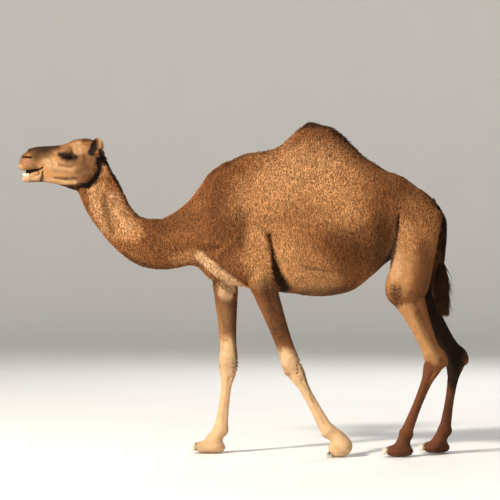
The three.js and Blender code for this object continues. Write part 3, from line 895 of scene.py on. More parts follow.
@dataclass(frozen=True)
class Block:
    """A box of space in which the hide is drawn on a grid of one step."""

    low: Triple
    high: Triple
    step: float
    coarse: int = 5  # grid steps in a cell of the first, rough pass

    def surface(self, body: Field) -> tuple[Array, list[tuple[int, ...]]]:
        """Points, in millimetres, and outward faces of the hide inside the block."""
        size = np.ceil((np.array(self.high) - self.low) / (self.step * self.coarse)).astype(int)
        span = self.step * self.coarse
        corners = np.stack(np.meshgrid(*[np.arange(n + 1) for n in size], indexing="ij"), -1)
        rough = body.at((corners * span + self.low).reshape(-1, 3), span * 1.5).reshape(size + 1)
        near = np.full(tuple(size), FAR)
        for dx, dy, dz in np.ndindex(2, 2, 2):
            part = rough[dx : dx + size[0], dy : dy + size[1], dz : dz + size[2]]
            near = np.where(np.abs(part) < np.abs(near), part, near)
        full = np.repeat(np.repeat(np.repeat(near, self.coarse, 0), self.coarse, 1), self.coarse, 2)
        cells = np.argwhere(np.abs(near) < span * 1.1)
        inner = np.stack(np.meshgrid(*[np.arange(self.coarse)] * 3, indexing="ij"), -1).reshape(-1, 3)
        nodes = (cells[:, None] * self.coarse + inner).reshape(-1, 3)
        full[tuple(nodes.T)] = body.at(nodes * self.step + self.low, self.step * 2)
        most = GRID_BAND * self.step
        full = np.clip(full, -most, most).astype(np.float32)
        grid = openvdb.FloatGrid(most)
        grid.copyFromArray(full)
        points, triangles, quads = grid.convertToPolygons(isovalue=0.0, adaptivity=0.0)
        faces = [tuple(face) for face in (*triangles.tolist(), *quads.tolist())]
        return points * self.step + self.low, faces


NECK_CUT: Triple = (-872, 0, 1606)  # the fine mesh of the head meets the coarser body here
NECK_CUT_WAY: Triple = (-0.42, 0, 0.91)
HEAD_BLOCK = Block((-1450, -150, 1500), (-740, 150, 2030), 3.4)
BODY_BLOCK = Block((-1010, -345, -12), (1445, 345, 2120), 12.5)
CUT_SPACING = 6.0  # half the width of the band that joins the two meshes


def ring_order(points: Array) -> Array:
    """Indices of a closed loop of points in order round the neck."""
    way = unit(np.array(NECK_CUT_WAY))
    side = np.array([0.0, 1.0, 0.0])
    offset = points - points.mean(0)
    return np.argsort(np.arctan2(offset @ side, offset @ np.cross(way, side)))


class HideMesh:
    """The hide as one closed mesh: a fine head joined to a coarser body."""

    def __init__(self, body: Field) -> None:
        """Starts an empty mesh of a body."""
        self.body = body
        self.mesh = bmesh.new()

    def part(self, block: Block, keep: int) -> bmesh.types.BMesh:
        """The hide of one block, cut at the neck; keep is 1 for the head's side."""
        points, faces = block.surface(self.body)
        points = self.body.settle(points, block.step * 0.4, rounds=1)
        made = bmesh.new()
        corners = [made.verts.new(point) for point in points]
        for face in faces:
            made.faces.new([corners[i] for i in face])
        way = unit(np.array(NECK_CUT_WAY))
        bmesh.ops.bisect_plane(
            made,
            geom=[*made.verts, *made.edges, *made.faces],
            plane_co=Vector(np.array(NECK_CUT) + way * CUT_SPACING * keep),
            plane_no=Vector(way),
            clear_inner=keep > 0,
            clear_outer=keep < 0,
        )
        return self.largest_shell(made)

    @staticmethod
    def largest_shell(mesh: bmesh.types.BMesh) -> bmesh.types.BMesh:
        """Drops every loose shell but the largest."""
        left = set(mesh.verts)
        shells = []
        while left:
            stack = [left.pop()]
            shell = list(stack)
            while stack:
                for edge in stack.pop().link_edges:
                    for vert in edge.verts:
                        if vert in left:
                            left.remove(vert)
                            shell.append(vert)
                            stack.append(vert)
            shells.append(shell)
        shells.sort(key=len)
        for shell in shells[:-1]:
            bmesh.ops.delete(mesh, geom=shell, context="VERTS")
        return mesh

    def add(self, other: bmesh.types.BMesh) -> list[bmesh.types.BMVert]:
        """Copies a cut part in and returns its open rim in order round the neck."""
        other.verts.index_update()
        copies = [self.mesh.verts.new(vert.co) for vert in other.verts]
        for face in other.faces:
            self.mesh.faces.new([copies[vert.index] for vert in face.verts])
        rim = [copies[vert.index] for vert in other.verts if vert.is_boundary]
        return [rim[i] for i in ring_order(np.array([vert.co for vert in rim]))]

    def zip_rims(self, first: list[bmesh.types.BMVert], second: list[bmesh.types.BMVert]) -> None:
        """Fills the band between two rims with triangles, stepping along whichever is behind."""
        start = int(np.argmin([np.linalg.norm(np.array(vert.co) - first[0].co) for vert in second]))
        second = second[start:] + second[:start]
        i = j = 0
        while i < len(first) or j < len(second):
            a, b = first[i % len(first)], second[j % len(second)]
            if j >= len(second) or (i < len(first) and i / len(first) <= j / len(second)):
                i += 1
                self.mesh.faces.new([a, b, first[i % len(first)]])
            else:
                j += 1
                self.mesh.faces.new([a, b, second[j % len(second)]])

    def refine(self, near: Callable[[Array], Array]) -> None:
        """Halves the edges whose both ends are where near says, and settles what changed."""
        self.mesh.verts.ensure_lookup_table()
        self.mesh.verts.index_update()
        wanted = near(np.array([vert.co for vert in self.mesh.verts]))
        edges = [edge for edge in self.mesh.edges if all(wanted[vert.index] for vert in edge.verts)]
        bmesh.ops.subdivide_edges(self.mesh, edges=edges, cuts=1, use_grid_fill=True)
        points = np.array([vert.co for vert in self.mesh.verts])
        at = np.flatnonzero(near(points))
        self.mesh.verts.ensure_lookup_table()
        for i, point in zip(at, self.body.settle(points[at], 4.0)):
            self.mesh.verts[i].co = point

    def build(self) -> bpy.types.Mesh:
        """The finished mesh, in metres in the frame."""
        head = self.add(self.part(HEAD_BLOCK, 1))
        body = self.add(self.part(BODY_BLOCK, -1))
        self.zip_rims(head, body)
        self.refine(needs_detail)
        bmesh.ops.triangulate(self.mesh, faces=self.mesh.faces)
        bmesh.ops.recalc_face_normals(self.mesh, faces=self.mesh.faces)
        points = np.array([vert.co for vert in self.mesh.verts])
        for vert, place in zip(self.mesh.verts, to_frame(points)):
            vert.co = place
        made = bpy.data.meshes.new("hide")
        self.mesh.to_mesh(made)
        self.mesh.free()
        made.shade_smooth()
        return made


def joint_gap(points: Array, leg: Leg, joint: Triple, sideways: float = 1.0) -> Array:
    """How far each point is from a leg's joint, where sideways distance counts by a share."""
    x, y, z = joint
    return np.linalg.norm((points - [x, y * leg.side, z]) * [1, sideways, 1], axis=1)


def needs_detail(points: Array) -> Array:
    """True where the coarse mesh needs halving: feet, knees, hocks, stifles and armpits."""
    wanted = points[:, 2] < 190
    for leg in LEGS.values():
        wanted |= joint_gap(points, leg, leg.lower) < 125
        x, y, z = leg.middle
        ahead = 60 if isinstance(leg, HindLeg) else 0
        wanted |= joint_gap(points, leg, (x - ahead, y, z), 0.6) < 110
    return wanted


# ------------------------------------------------------------------ finishes

Socket = bpy.types.NodeSocket
Wired = float | Triple | tuple[float, ...] | Socket


def grey(value: float) -> tuple[float, ...]:
    """A neutral colour."""
    return (value, value, value, 1.0)


class Graph:
    """A node tree that is being wired: a material's, a shader group's or a modifier's."""

    def __init__(self, tree: bpy.types.NodeTree) -> None:
        """Takes the tree to wire."""
        self.tree = tree

    def node(
        self, kind: str, inputs: dict[str | int, Wired] | None = None, **settings: object
    ) -> bpy.types.Node:
        """Adds a node, with inputs by name or number and settings as its own properties.

        A kind without "Node" in it is a ShaderNode's.
        """
        made = self.tree.nodes.new(kind if "Node" in kind else "ShaderNode" + kind)
        for name, value in settings.items():
            setattr(made, name, value)
        for key, value in (inputs or {}).items():
            self.feed(made.inputs[key], value)
        return made

    def feed(self, socket: Socket, value: Wired) -> None:
        """Wires a socket to another node's output, or gives it a value."""
        if isinstance(value, Socket):
            self.tree.links.new(value, socket)
        else:
            socket.default_value = value

    def shade(self, **inputs: Wired) -> None:
        """Feeds the Principled shader; an underscore in a name stands for a space."""
        shader = self.tree.nodes["Principled BSDF"]
        for key, value in inputs.items():
            self.feed(shader.inputs[key.replace("_", " ")], value)

    def math(self, operation: str, a: Wired, b: Wired = 0.0, clamp: bool = False) -> Socket:
        """One Math node's result."""
        return self.node("Math", {0: a, 1: b}, operation=operation, use_clamp=clamp).outputs[0]

    def mix(self, share: Wired, a: Wired, b: Wired, blend: str = "MIX") -> Socket:
        """Two colours mixed."""
        return self.node("Mix", {0: share, 6: a, 7: b}, data_type="RGBA", blend_type=blend).outputs[2]

    def value(self, name: str) -> Socket:
        """A stored attribute of the mesh."""
        return self.node("Attribute", attribute_name=name).outputs["Fac"]

    def places(self, scale: Triple = (1, 1, 1)) -> Socket:
        """Object coordinates, stretched by a scale."""
        found = self.node("TexCoord").outputs["Object"]
        return self.node("Mapping", {"Vector": found, "Scale": scale}).outputs["Vector"]

    def noise(self, places: Socket, scale: float, detail: float = 2.0, rough: float = 0.5) -> Socket:
        """A noise's value at places."""
        sockets = {"Vector": places, "Scale": scale, "Detail": detail, "Roughness": rough}
        return self.node("TexNoise", sockets).outputs["Fac"]

    def ramp(
        self, value: Wired, low: float, high: float, to_low: float = 0.0, to_high: float = 1.0
    ) -> Socket:
        """A value carried from one range to another and held inside it."""
        ends = {"From Min": low, "From Max": high, "To Min": to_low, "To Max": to_high}
        return self.node("MapRange", {"Value": value, **ends}).outputs["Result"]

    def bump(
        self, height: Socket, distance: float, strength: Wired = 1.0, normal: Socket | None = None
    ) -> Socket:
        """A normal tilted by a height."""
        sockets: dict[str | int, Wired] = {"Height": height, "Distance": distance, "Strength": strength}
        if normal is not None:
            sockets["Normal"] = normal
        return self.node("Bump", sockets).outputs["Normal"]

    def group(self, tree: bpy.types.NodeTree, inputs: dict[str | int, Wired] | None = None) -> bpy.types.Node:
        """A group node of another tree."""
        return self.node("Group", inputs, node_tree=tree)


SOCKET_KINDS = {"Color": "NodeSocketColor", "Normal": "NodeSocketVector"}


def shader_group(
    name: str, takes: dict[str, float], gives: Sequence[str], wire: Callable[..., list[Socket]]
) -> bpy.types.NodeTree:
    """Makes a shader group once.

    It takes numbers with their usual values, and gives outputs that wire draws, in order.
    """
    if name in bpy.data.node_groups:
        return bpy.data.node_groups[name]
    tree = bpy.data.node_groups.new(name, "ShaderNodeTree")
    for key, usual in takes.items():
        made = tree.interface.new_socket(key, in_out="INPUT", socket_type="NodeSocketFloat")
        made.default_value = usual
    for key in gives:
        kind = SOCKET_KINDS.get(key, "NodeSocketFloat")
        tree.interface.new_socket(key, in_out="OUTPUT", socket_type=kind)
    graph = Graph(tree)
    entry = tree.nodes.new("NodeGroupInput")
    leave = tree.nodes.new("NodeGroupOutput")
    for i, socket in enumerate(wire(graph, *[entry.outputs[key] for key in takes])):
        tree.links.new(socket, leave.inputs[i])
    return tree


@dataclass(frozen=True)
class CoatColours:
    """The colours of the coat, as linear light, and how they mingle."""

    brown: Triple = (0.315, 0.128, 0.045)
    deep: Triple = (0.215, 0.080, 0.027)
    tan: Triple = (0.54, 0.270, 0.108)
    ruddy: Triple = (0.175, 0.060, 0.025)
    pale: Triple = (0.80, 0.51, 0.275)
    bare: Triple = (0.45, 0.22, 0.14)
    dark: Triple = (0.019, 0.0095, 0.006)

    def tree(self) -> bpy.types.NodeTree:
        """The group that gives the coat's colour from the tones stored on the mesh."""

        def wire(graph: Graph, shade: Socket, depth: Socket) -> list[Socket]:
            """Lays each tone in turn over two browns, with ragged edges and a mottle, and multiplies in the
            painted shade of depth.
            """
            places = graph.places()
            cloud = graph.ramp(graph.noise(places, 3.4, 3.0), 0.38, 0.62)
            mottle = graph.noise(places, 26.0, 3.0, 0.6)
            colour = graph.mix(cloud, (*self.brown, 1), (*self.deep, 1))
            for tone in Tone:
                share = graph.value(tone.value)
                edge = graph.math("MULTIPLY", share, graph.math("SUBTRACT", 1.0, share))
                ragged = graph.math("MULTIPLY", edge, graph.ramp(mottle, 0.3, 0.7, -0.8, 0.8))
                inside = graph.math("ADD", share, ragged, clamp=True)
                colour = graph.mix(inside, colour, (*getattr(self, tone.value), 1))
            light = graph.math("MULTIPLY", graph.ramp(mottle, 0.3, 0.7, 0.92, 1.08), shade)
            # Depth is painted shade: darker towards the roots of the locks and on the hide beneath them.
            light = graph.math("MULTIPLY", light, depth)
            neutral = graph.node("CombineColor", {0: light, 1: light, 2: light}).outputs[0]
            return [graph.mix(1.0, colour, neutral, "MULTIPLY")]

        return shader_group("coat colour", {"Shade": 1.0, "Depth": 1.0}, ["Color"], wire)


def short_hair_tree() -> bpy.types.NodeTree:
    """The group that gives the fine lie of short hair: along the face, and down the legs."""

    def wire(graph: Graph, head: Socket) -> list[Socket]:
        """Draws the hair's height and shade."""
        down = graph.noise(graph.places((900, 900, 150)), 1.0, 2.0)
        back = graph.noise(graph.places((170, 900, 800)), 1.0, 2.0)
        height = graph.node("Mix", {0: head, 2: down, 3: back}, data_type="FLOAT").outputs[0]
        return [height, graph.ramp(height, 0.3, 0.7, 0.80, 1.20)]

    return shader_group("short hair", {"Head": 0.0}, ["Height", "Shade"], wire)


def wrinkle_tree() -> bpy.types.NodeTree:
    """The group that gives the creases of loose skin at joints, lips and lids."""

    def wire(graph: Graph, size: Socket) -> list[Socket]:
        """Draws the creases' height, from cells of bent space."""
        bent = graph.places((1.0, 1.0, 2.4))
        warp = graph.noise(bent, 14.0, 2.0)
        sway = graph.node("CombineXYZ", {0: warp, 2: warp}).outputs[0]
        moved = graph.node("VectorMath", {0: bent, 1: sway}).outputs[0]
        cells = graph.node("TexVoronoi", {"Vector": moved, "Scale": size}, feature="DISTANCE_TO_EDGE")
        return [graph.ramp(cells.outputs["Distance"], 0.0, 0.12)]

    return shader_group("wrinkles", {"Size": 60.0}, ["Height"], wire)


def new_material(name: str) -> tuple[bpy.types.Material, Graph]:
    """A material and the graph of its Principled shader."""
    made = bpy.data.materials.new(name)
    made.use_nodes = True
    return made, Graph(made.node_tree)


@dataclass(frozen=True)
class HideFinish:
    """Skin with its short flat hair, darkened as painted shade beneath the locks, most where wool covers it.
    """

    colours: CoatColours = CoatColours()
    shade_under_wool: float = 0.46  # painted shade: how light the hide is between locks of wool
    shade_under_hair: float = 0.77  # and where its hair is short, also painted shade

    def material(self) -> bpy.types.Material:
        """The hide's material."""
        made, graph = new_material("hide")
        hair = graph.group(short_hair_tree(), {"Head": graph.value("head")})
        # Painted shade: the hide beneath the locks is darkened, least where the hair is short and most under
        # full wool.
        depth = graph.ramp(graph.value("wool"), 0.0, 1.0, self.shade_under_hair, self.shade_under_wool)
        coat = graph.group(self.colours.tree(), {"Shade": hair.outputs["Shade"], "Depth": depth})
        creases = graph.group(wrinkle_tree(), {"Size": 62.0})
        normal = graph.bump(creases.outputs["Height"], 0.0035, graph.value("creased"))
        normal = graph.bump(hair.outputs["Height"], 0.0015, 0.9, normal)
        rough = graph.ramp(graph.value(Tone.BARE.value), 0.0, 1.0, 0.78, 0.5)
        graph.shade(Base_Color=coat.outputs[0], Roughness=rough, Normal=normal, Specular_IOR_Level=0.12)
        return made


@dataclass(frozen=True)
class HairFinish:
    """Locks of wool or hair: dark at the root as painted shade among the locks, and lighter at the tip as
    painted light.
    """

    name: str
    root: float
    tip: float
    colours: CoatColours = CoatColours()
    roughness: float = 0.72

    def material(self) -> bpy.types.Material:
        """The locks' material, made once for each name."""
        if self.name in bpy.data.materials:
            return bpy.data.materials[self.name]
        made, graph = new_material(self.name)
        along = graph.value("along")
        # Painted shade towards the root and painted light towards the tip.
        depth = graph.ramp(along, 0.0, 0.8, self.root, self.tip)
        coat = graph.group(self.colours.tree(), {"Shade": graph.value("shade"), "Depth": depth})
        strands = graph.noise(graph.places((700, 700, 220)), 1.0, 1.0)
        graph.shade(
            Base_Color=coat.outputs[0],
            Roughness=graph.ramp(strands, 0.3, 0.7, self.roughness - 0.08, self.roughness + 0.08),
            Normal=graph.bump(strands, 0.0008, 0.6),
            Specular_IOR_Level=0.1,
        )
        return made


@dataclass(frozen=True)
class EyeFinish:
    """A dark wet eye; the mesh's gaze attribute runs from 0 at the pupil to 1 at the white."""

    iris: Triple = (0.030, 0.012, 0.005)
    pupil: Triple = (0.004, 0.003, 0.003)
    white: Triple = (0.02, 0.011, 0.008)

    def material(self) -> bpy.types.Material:
        """The eyeball's material."""
        made, graph = new_material("wet eye")
        gaze = graph.value("gaze")
        streaks = graph.noise(graph.places(), 420.0, 3.0, 0.6)
        iris = graph.mix(graph.ramp(streaks, 0.35, 0.65, 0.0, 0.75), (*self.iris, 1), grey(0.006))
        colour = graph.mix(graph.ramp(gaze, 0.26, 0.34), (*self.pupil, 1), iris)
        colour = graph.mix(graph.ramp(gaze, 0.66, 0.80), colour, (*self.white, 1))
        graph.shade(Base_Color=colour, Roughness=0.35, Specular_IOR_Level=0.0)
        graph.shade(Coat_Weight=0.10, Coat_Roughness=0.03)
        return made


@dataclass(frozen=True)
class HornFinish:
    """Nails and teeth: pale or dark horn with growth lines and stained ends."""

    name: str
    body: Triple
    stain: Triple
    from_end: float  # the share of the length where the stain begins
    roughness: float = 0.42

    def material(self) -> bpy.types.Material:
        """The horn's material; the mesh's along attribute runs from root to end."""
        made, graph = new_material(self.name)
        along = graph.value("along")
        places = graph.places()
        cloud = graph.noise(places, 90.0, 3.0, 0.6)
        edge = graph.math("ADD", along, graph.ramp(cloud, 0.3, 0.7, -0.2, 0.2))
        body, stain = (*self.body, 1), (*self.stain, 1)
        colour = graph.mix(graph.ramp(edge, self.from_end - 0.16, self.from_end + 0.16), body, stain)
        sockets = {"Vector": places, "Scale": 130.0, "Distortion": 3.0, "Detail": 2.0}
        lines = graph.node("TexWave", sockets, bands_direction="Z")
        colour = graph.mix(graph.ramp(cloud, 0.45, 0.75, 0.0, 0.3), colour, stain)
        graph.shade(
            Base_Color=colour,
            Roughness=graph.ramp(cloud, 0.3, 0.7, self.roughness - 0.1, self.roughness + 0.12),
            Normal=graph.bump(lines.outputs["Fac"], 0.0006, 0.5),
        )
        return made


@dataclass(frozen=True)
class LashFinish:
    """Near-black lashes."""

    colour: Triple = (0.018, 0.012, 0.009)

    def material(self) -> bpy.types.Material:
        """The lashes' material."""
        made, graph = new_material("lash hair")
        cloud = graph.noise(graph.places(), 300.0)
        colour = graph.mix(cloud, (*self.colour, 1), (0.05, 0.032, 0.022, 1))
        graph.shade(Base_Color=colour, Roughness=0.6, Specular_IOR_Level=0.08)
        return made


def studio_floor() -> bpy.types.Material:
    """The floor's matt pale paint, a little uneven."""
    made, graph = new_material("studio_floor")
    cloud = graph.noise(graph.places(), 1.4, 4.0)
    graph.shade(Base_Color=graph.mix(cloud, grey(0.80), grey(0.84)), Roughness=0.9)
    return made


# ------------------------------------------------------------------ markings, with painted shade and light


class Tone(Enum):
    """The colours that are laid over the brown ground of the coat; DARK also lays painted shade, and TAN some
    painted light.
    """

    TAN = "tan"
    RUDDY = "ruddy"
    PALE = "pale"
    BARE = "bare"
    # dark hair and skin, and the painted shade of the marks noted as such
    DARK = "dark"


REACH_EDGE = 8.0  # millimetres over which a mark fades at the ends of its reach


@dataclass(frozen=True)
class Mark:
    """A stroke of one tone, drawn on the side view from point to point.

    Each point is (x, z, radius). Reach limits it to a span of distances from the midline,
    and side to one side of the animal.
    """

    tone: Tone
    points: tuple[Triple, ...]
    strength: float
    soft: float = 0.35  # share of the radius over which the edge fades
    reach: tuple[float, float] = (-1.0, 999.0)
    side: int = 0

    def share(self, places: Array, ragged: Array) -> Array:
        """How strongly the tone shows at each place; ragged is about 0 and roughens its edge."""
        rows = np.array(self.points, dtype=float)
        near = np.full(len(places), FAR)
        flat = places[:, [0, 2]]
        for (x0, z0, r0), (x1, z1, r1) in zip(rows, rows[1:]):
            way = np.array([x1 - x0, z1 - z0])
            t = np.clip((flat - [x0, z0]) @ way / max(way @ way, 1e-6), 0, 1)
            gap = np.linalg.norm(flat - [x0, z0] - t[:, None] * way, axis=1)
            near = np.minimum(near, gap / (r0 + (r1 - r0) * t))
        found = self.strength * (1 - smoothstep(1 - self.soft, 1 + self.soft, near + ragged))
        out = np.abs(places[:, 1])
        inner, outer = [smoothstep(end - REACH_EDGE, end + REACH_EDGE, out) for end in self.reach]
        found = found * inner * (1 - outer)
        return found * (places[:, 1] * self.side > 0) if self.side else found


def ripples(points: Array, scale: float, seed: int) -> Array:
    """Smooth irregular values from about -1 to 1, with waves of about the scale in millimetres."""
    rng = np.random.default_rng(seed)
    ways = unit(rng.normal(size=(7, 3))) * 2 * math.pi / (scale * rng.uniform(0.7, 1.6, (7, 1)))
    return np.sin(points @ ways.T + rng.uniform(0, 2 * math.pi, 7)).sum(1) / 3.2


TAN, RUDDY, PALE, BARE, DARK = Tone

# Each row is a mark: its tone, points, strength, softness and, for some, its reach. Rows noted as painted
# shade or light stand for light, not the coat's own colour.
BOTH_SIDES = (
    # head
    (TAN, ((-1375, 1825, 90), (-1200, 1822, 120), (-1060, 1830, 130), (-960, 1840, 110)), 0.7, 0.3),
    (TAN, ((-1350, 1750, 50), (-1250, 1756, 60), (-1100, 1760, 70)), 0.9, 0.3),
    (PALE, ((-1230, 1836, 22), (-1150, 1812, 28), (-1080, 1806, 28)), 0.35, 0.9),
    (PALE, ((-1240, 1850, 20), (-1200, 1840, 26)), 0.4, 0.6),
    (PALE, ((-1398, 1820, 14), (-1385, 1795, 12)), 0.5, 0.5),
    (PALE, ((-1368, 1740, 26), (-1310, 1748, 22)), 0.6, 0.4),
    (PALE, ((-1036, 1952, 30), (-1030, 1915, 24)), 0.45, 0.5),
    (BARE, ((-1385, 1850, 26), (-1340, 1830, 30)), 0.3, 0.6),
    (DARK, ((-1402, 1862, 18), (-1392, 1836, 12)), 0.3, 0.9),
    (RUDDY, ((-1394, 1886, 24), (-1366, 1916, 26)), 0.75, 0.5, (-1, 60)),
    (DARK, ((-1336, 1926, 26), (-1285, 1934, 34), (-1220, 1938, 32), (-1165, 1940, 18)), 0.88, 0.8),
    (DARK, ((-1304, 1886, 26), (-1264, 1896, 34), (-1226, 1912, 30)), 0.76, 0.9),
    (DARK, ((-1290, 1855, 14), (-1286, 1868, 18)), 0.35, 0.6),
    # painted shade in the nostril's slit
    (DARK, ((-1382, 1875, 4), (-1330, 1871, 4)), 0.9, 0.5),
    # dark lids round the eye, with painted shade under the brow
    (DARK, ((-1146, 1891, 15), (-1100, 1875, 32), (-1051, 1868, 19)), 0.98, 0.6),
    (DARK, ((-1160, 1920, 20), (-1110, 1925, 24)), 0.28, 0.7),
    (DARK, ((-1090, 1845, 14), (-1050, 1850, 16)), 0.3, 0.7),
    (DARK, ((-1000, 1984, 16), (-950, 1992, 16)), 0.6, 0.5),
    # dark hair in the ear's cup, with painted shade in it
    (DARK, ((-926, 1966, 18), (-933, 1932, 28), (-950, 1901, 24)), 1.0, 0.5),
    (PALE, ((-888, 1994, 14), (-872, 1950, 15), (-890, 1900, 12)), 1.0, 0.3),
    # painted shade in the mouth's gap and inside the mouth
    (DARK, ((-1400, 1780, 7), (-1330, 1786, 10), (-1286, 1794, 8)), 1.0, 0.4),
    (DARK, ((-1372, 1780, 17), (-1330, 1776, 17), (-1290, 1784, 12)), 1.0, 0.3, (-1, 25)),
    # painted shade in the creases of the mouth's corner, behind the lip and along the jaw
    (DARK, ((-1280, 1797, 6), (-1258, 1810, 6)), 0.85, 0.5),
    (DARK, ((-1258, 1782, 6), (-1258, 1755, 9), (-1270, 1722, 11)), 0.85, 0.6),
    (DARK, ((-1180, 1746, 7), (-1110, 1738, 10), (-1040, 1742, 9)), 0.6, 0.6),
    (DARK, ((-1010, 1770, 70), (-955, 1850, 50)), 0.42, 0.9),
    (DARK, ((-1180, 1790, 10), (-1120, 1782, 12), (-1060, 1770, 12)), 0.3, 0.9),
    (RUDDY, ((-1010, 1878, 30), (-975, 1820, 46), (-1000, 1750, 40)), 0.52, 0.9),
    (DARK, ((-1040, 1830, 50), (-1110, 1800, 60), (-1180, 1800, 40)), 0.09, 0.9),
    (PALE, ((-1240, 1736, 10), (-1150, 1720, 11), (-1050, 1716, 11)), 0.5, 0.6),
    (DARK, ((-1226, 1880, 6), (-1200, 1850, 8), (-1196, 1800, 7)), 0.22, 0.9),
    # dark hair behind and under the jaw, with painted shade in the groove there
    (DARK, ((-905, 1862, 14), (-905, 1800, 17), (-926, 1750, 19), (-975, 1702, 18)), 0.97, 0.35),
    (DARK, ((-975, 1700, 17), (-1070, 1686, 15), (-1150, 1690, 12)), 0.92, 0.35),
    (DARK, ((-1330, 1724, 6), (-1290, 1722, 6)), 0.5, 0.5),
    # neck
    (DARK, ((-880, 1905, 24), (-868, 1872, 38)), 1.0, 0.3),
    (DARK, ((-852, 1872, 26), (-826, 1800, 22), (-782, 1712, 20), (-724, 1610, 18)), 0.9, 0.4),
    (DARK, ((-724, 1610, 18), (-664, 1512, 17), (-590, 1496, 12)), 0.7, 0.5),
    (DARK, ((-590, 1490, 40), (-470, 1460, 70), (-350, 1500, 60)), 0.26, 0.6),
    (TAN, ((-915, 1690, 60), (-890, 1560, 72), (-800, 1455, 84), (-690, 1420, 60)), 0.85, 0.4),
    (PALE, ((-950, 1670, 34), (-925, 1560, 34), (-880, 1440, 26)), 0.25, 0.7),
    (PALE, ((-820, 1640, 30), (-780, 1530, 40), (-730, 1440, 40)), 0.3, 0.9),
    (DARK, ((-872, 1650, 14), (-866, 1540, 22), (-824, 1420, 18)), 0.5, 0.9),
    (DARK, ((-760, 1280, 16), (-640, 1212, 18), (-480, 1172, 20)), 0.45, 0.5),
    (TAN, ((-420, 1250, 40), (-330, 1264, 46)), 0.6, 0.5),
    # trunk
    (TAN, ((60, 1620, 130), (320, 1740, 210), (520, 1700, 200), (620, 1560, 130)), 0.8, 0.7),
    (PALE, ((230, 1760, 110), (360, 1850, 110), (500, 1800, 120)), 0.14, 0.9),
    (TAN, ((130, 1450, 110), (260, 1300, 120), (420, 1150, 110)), 0.6, 0.8),
    # darker shoulder, partly the coat's colour and partly painted shade
    (DARK, ((-170, 1690, 80), (-130, 1500, 110), (-110, 1330, 100)), 0.08, 0.5),
    (DARK, ((-20, 1560, 26), (-6, 1450, 34), (-10, 1340, 26)), 0.24, 0.7),
    (DARK, ((300, 2040, 18), (380, 2085, 26), (450, 2090, 28), (540, 2066, 26), (640, 1990, 20)), 0.7, 0.6),
    (DARK, ((320, 2060, 16), (400, 2092, 20), (450, 2094, 20), (540, 2072, 20), (640, 1996, 16)), 0.6, 0.6),
    (DARK, ((640, 1990, 18), (760, 1880, 14), (880, 1812, 14), (1050, 1735, 16), (1180, 1630, 22)), 0.6, 0.5),
    (DARK, ((-200, 1780, 14), (20, 1895, 14), (160, 1905, 14), (300, 2030, 16)), 0.4, 0.5),
    # lighter tan, partly the coat's colour and partly painted light on the belly's front edge
    (TAN, ((262, 1300, 60), (310, 1140, 64), (430, 1090, 70), (560, 1110, 50)), 0.7, 0.6),
    # painted shade for a fold low on the belly
    (DARK, ((330, 1120, 5), (420, 1140, 6), (520, 1130, 5)), 0.3, 0.7),
    # painted shade on the belly's rear and on the flank ahead of the thigh
    (DARK, ((640, 1330, 110), (760, 1300, 110), (830, 1380, 90)), 0.27, 0.8),
    (DARK, ((860, 1480, 60), (880, 1330, 60), (850, 1220, 60)), 0.45, 0.8),
    # painted shade in the crease at the thigh's front edge
    (DARK, ((968, 1510, 8), (958, 1400, 13), (938, 1290, 18), (905, 1190, 24)), 0.9, 0.5),
    # painted shade under the belly
    (DARK, ((380, 1000, 50), (560, 1000, 56), (700, 1040, 50)), 0.45, 0.5),
    # painted shade for a fold along the belly
    (DARK, ((350, 1204, 5), (430, 1188, 7), (550, 1170, 5)), 0.5, 0.6),
    # hindquarters
    (TAN, ((1000, 1420, 60), (985, 1250, 80), (975, 1080, 70)), 0.85, 0.5),
    (PALE, ((955, 1260, 40), (945, 1150, 40)), 0.3, 0.6),
    (TAN, ((1040, 1540, 90), (1090, 1440, 80)), 0.2, 0.7),
    # painted shade over the back, from the hump to the rump
    (
        DARK,
        ((600, 2010, 40), (700, 1900, 60), (860, 1800, 70), (1040, 1710, 70), (1180, 1600, 60)),
        0.34,
        0.95,
    ),
    (DARK, ((1130, 1340, 30), (1130, 1150, 34), (1100, 1000, 26)), 0.3, 0.6),
    (DARK, ((1180, 1640, 26), (1250, 1530, 36), (1290, 1400, 44), (1290, 1200, 50)), 1.0, 0.5, (-1, 66)),
    # painted shade on the rear of the buttocks and thighs, beside and below the tail
    (DARK, ((1196, 1640, 24), (1262, 1520, 38), (1276, 1380, 46), (1250, 1200, 50)), 0.8, 0.8, (40, 150)),
    (DARK, ((1236, 1400, 34), (1216, 1200, 34), (1190, 1020, 34)), 0.7, 0.9, (-1, 130)),
)
LEFT_SIDE = (
    (TAN, ((70, 1400, 60), (90, 1250, 90), (120, 1120, 70)), 0.85, 0.6),
    (DARK, ((150, 1080, 50), (200, 930, 66), (256, 780, 62)), 0.6, 0.8),
    (PALE, ((262, 640, 40), (311, 540, 100), (440, 340, 80), (532, 170, 90), (600, 60, 130)), 1.0, 0.75),
    (DARK, ((262, 910, 10), (340, 690, 11), (390, 500, 10), (440, 345, 6)), 0.5, 0.6),
    (BARE, ((262, 560, 10), (290, 500, 14)), 0.5, 0.6),
    # painted shade in the hollow behind the elbow
    (DARK, ((168, 1380, 2), (178, 1310, 6), (188, 1230, 15), (212, 1150, 28), (258, 1066, 40)), 0.95, 0.5),
    (PALE, ((-270, 1262, 30), (-180, 1182, 32), (-70, 1092, 30), (20, 1044, 18)), 0.85, 0.4),
    (TAN, ((1010, 900, 60), (1100, 740, 46), (1170, 620, 50)), 0.9, 0.4),
    # painted shade on the gaskin's rear
    (DARK, ((1090, 900, 26), (1160, 740, 24), (1230, 610, 18)), 0.35, 0.6),
    (RUDDY, ((1150, 560, 40), (1110, 420, 50), (1050, 240, 60), (1000, 100, 90), (960, 30, 110)), 0.97, 0.5),
    (DARK, ((1040, 110, 40), (1020, 30, 60)), 0.4, 0.7),
    (DARK, ((1150, 450, 12), (1070, 220, 14)), 0.35, 0.6),
)
